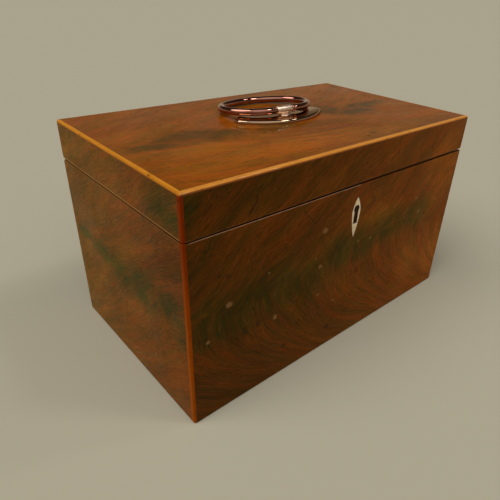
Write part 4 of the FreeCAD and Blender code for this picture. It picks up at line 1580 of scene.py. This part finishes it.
@dataclass
class Studio:
    """A pale floor, soft light from above, and the camera, in millimetres and degrees."""

    floor_half: float = 60000.0
    floor_drop: float = 0.2
    floor_colour: Colour = (0.470, 0.432, 0.318)
    horizon: float = 0.88
    sky_colour: Colour = (0.050, 0.040, 0.033)
    sky_rise: tuple[float, float] = (0.1, 0.42)
    lamps: tuple[Lamp, ...] = (
        Lamp("key_lamp", (-0.60, 0.05, 0.80), 0.58, 50.0),
        Lamp("fill_lamp", (-0.10, -0.60, 0.79), 0.24, 60.0),
        Lamp("window_lamp", (0.40, -0.42, 0.81), 0.12, 10.0),
        Lamp("spark_lamp", (0.595, -0.250, 0.760), 0.04, 6.0),
    )
    camera_place: tuple[float, float, float] = (-175.16, -188.17, 180.93)
    azimuth: float = -43.51
    elevation: float = 29.70
    roll: float = 2.93
    lens: float = 33.335
    sensor: float = 36.0
    shift: tuple[float, float] = (-0.0577, -0.0060)
    clip_start: float = 10.0

    def build_floor(self) -> None:
        """Lays the floor under the caddy."""
        mesh = bmesh.new()
        under = Matrix.Translation((0.0, 0.0, -self.floor_drop * MM))
        bmesh.ops.create_grid(mesh, x_segments=4, y_segments=4, size=self.floor_half * MM, matrix=under)
        data = bpy.data.meshes.new("floor")
        mesh.to_mesh(data)
        mesh.free()
        floor = bpy.data.objects.new("floor", data)
        bpy.context.scene.collection.objects.link(floor)
        material = bpy.data.materials.new("pale_floor")
        material.use_nodes = True
        shader = material.node_tree.nodes["Principled BSDF"].inputs
        feeds = {"Base Color": self.floor_colour, "Roughness": 0.9, "Specular IOR Level": 0.1}
        Graph(material.node_tree).fill(shader, feeds)
        data.materials.append(material)

    def light_sky(self) -> None:
        """Makes a world that is pale at the horizon and dim above it."""
        world = bpy.data.worlds.new("studio")
        bpy.context.scene.world = world
        world.use_nodes = True
        world.node_tree.nodes.clear()
        graph = Graph(world.node_tree)
        height = graph.split(graph.node("ShaderNodeTexCoord", {}).outputs["Generated"])[2]
        pale = tuple(self.horizon * part for part in self.floor_colour)
        colour = graph.mix(graph.ease(height, *self.sky_rise), pale, self.sky_colour)
        sky = graph.node("ShaderNodeBackground", {0: colour, 1: 1.0}).outputs[0]
        graph.node("ShaderNodeOutputWorld", {"Surface": sky})

    def set_camera(self) -> None:
        """Sets the camera where the fitted view was taken from."""
        data = bpy.data.cameras.new("camera")
        data.sensor_width = self.sensor
        data.lens = self.lens
        data.shift_x, data.shift_y = self.shift
        data.clip_start = self.clip_start * MM
        camera = bpy.data.objects.new("camera", data)
        turn = Matrix.Rotation(math.radians(self.azimuth), 4, "Z")
        turn = turn @ Matrix.Rotation(math.radians(90.0 - self.elevation), 4, "X")
        turn = turn @ Matrix.Rotation(math.radians(self.roll), 4, "Z")
        camera.matrix_world = Matrix.Translation(Vector(self.camera_place) * MM) @ turn
        bpy.context.scene.collection.objects.link(camera)
        bpy.context.scene.camera = camera

    def build(self) -> None:
        """Builds the floor, the light and the camera."""
        self.build_floor()
        self.light_sky()
        for lamp in self.lamps:
            lamp.hang()
        self.set_camera()
        bpy.context.scene.view_settings.view_transform = "Standard"


def main() -> None:
    """Loads the frame, dresses its nodes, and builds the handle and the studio."""
    logging.basicConfig(level=logging.INFO, format="%(message)s")
    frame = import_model()
    Carpentry(frame["nodes"]).dress()
    RingHandle(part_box("lid_top_veneer")[1].z / MM).build()
    Studio().build()


if __name__ == "__main__":
    main()
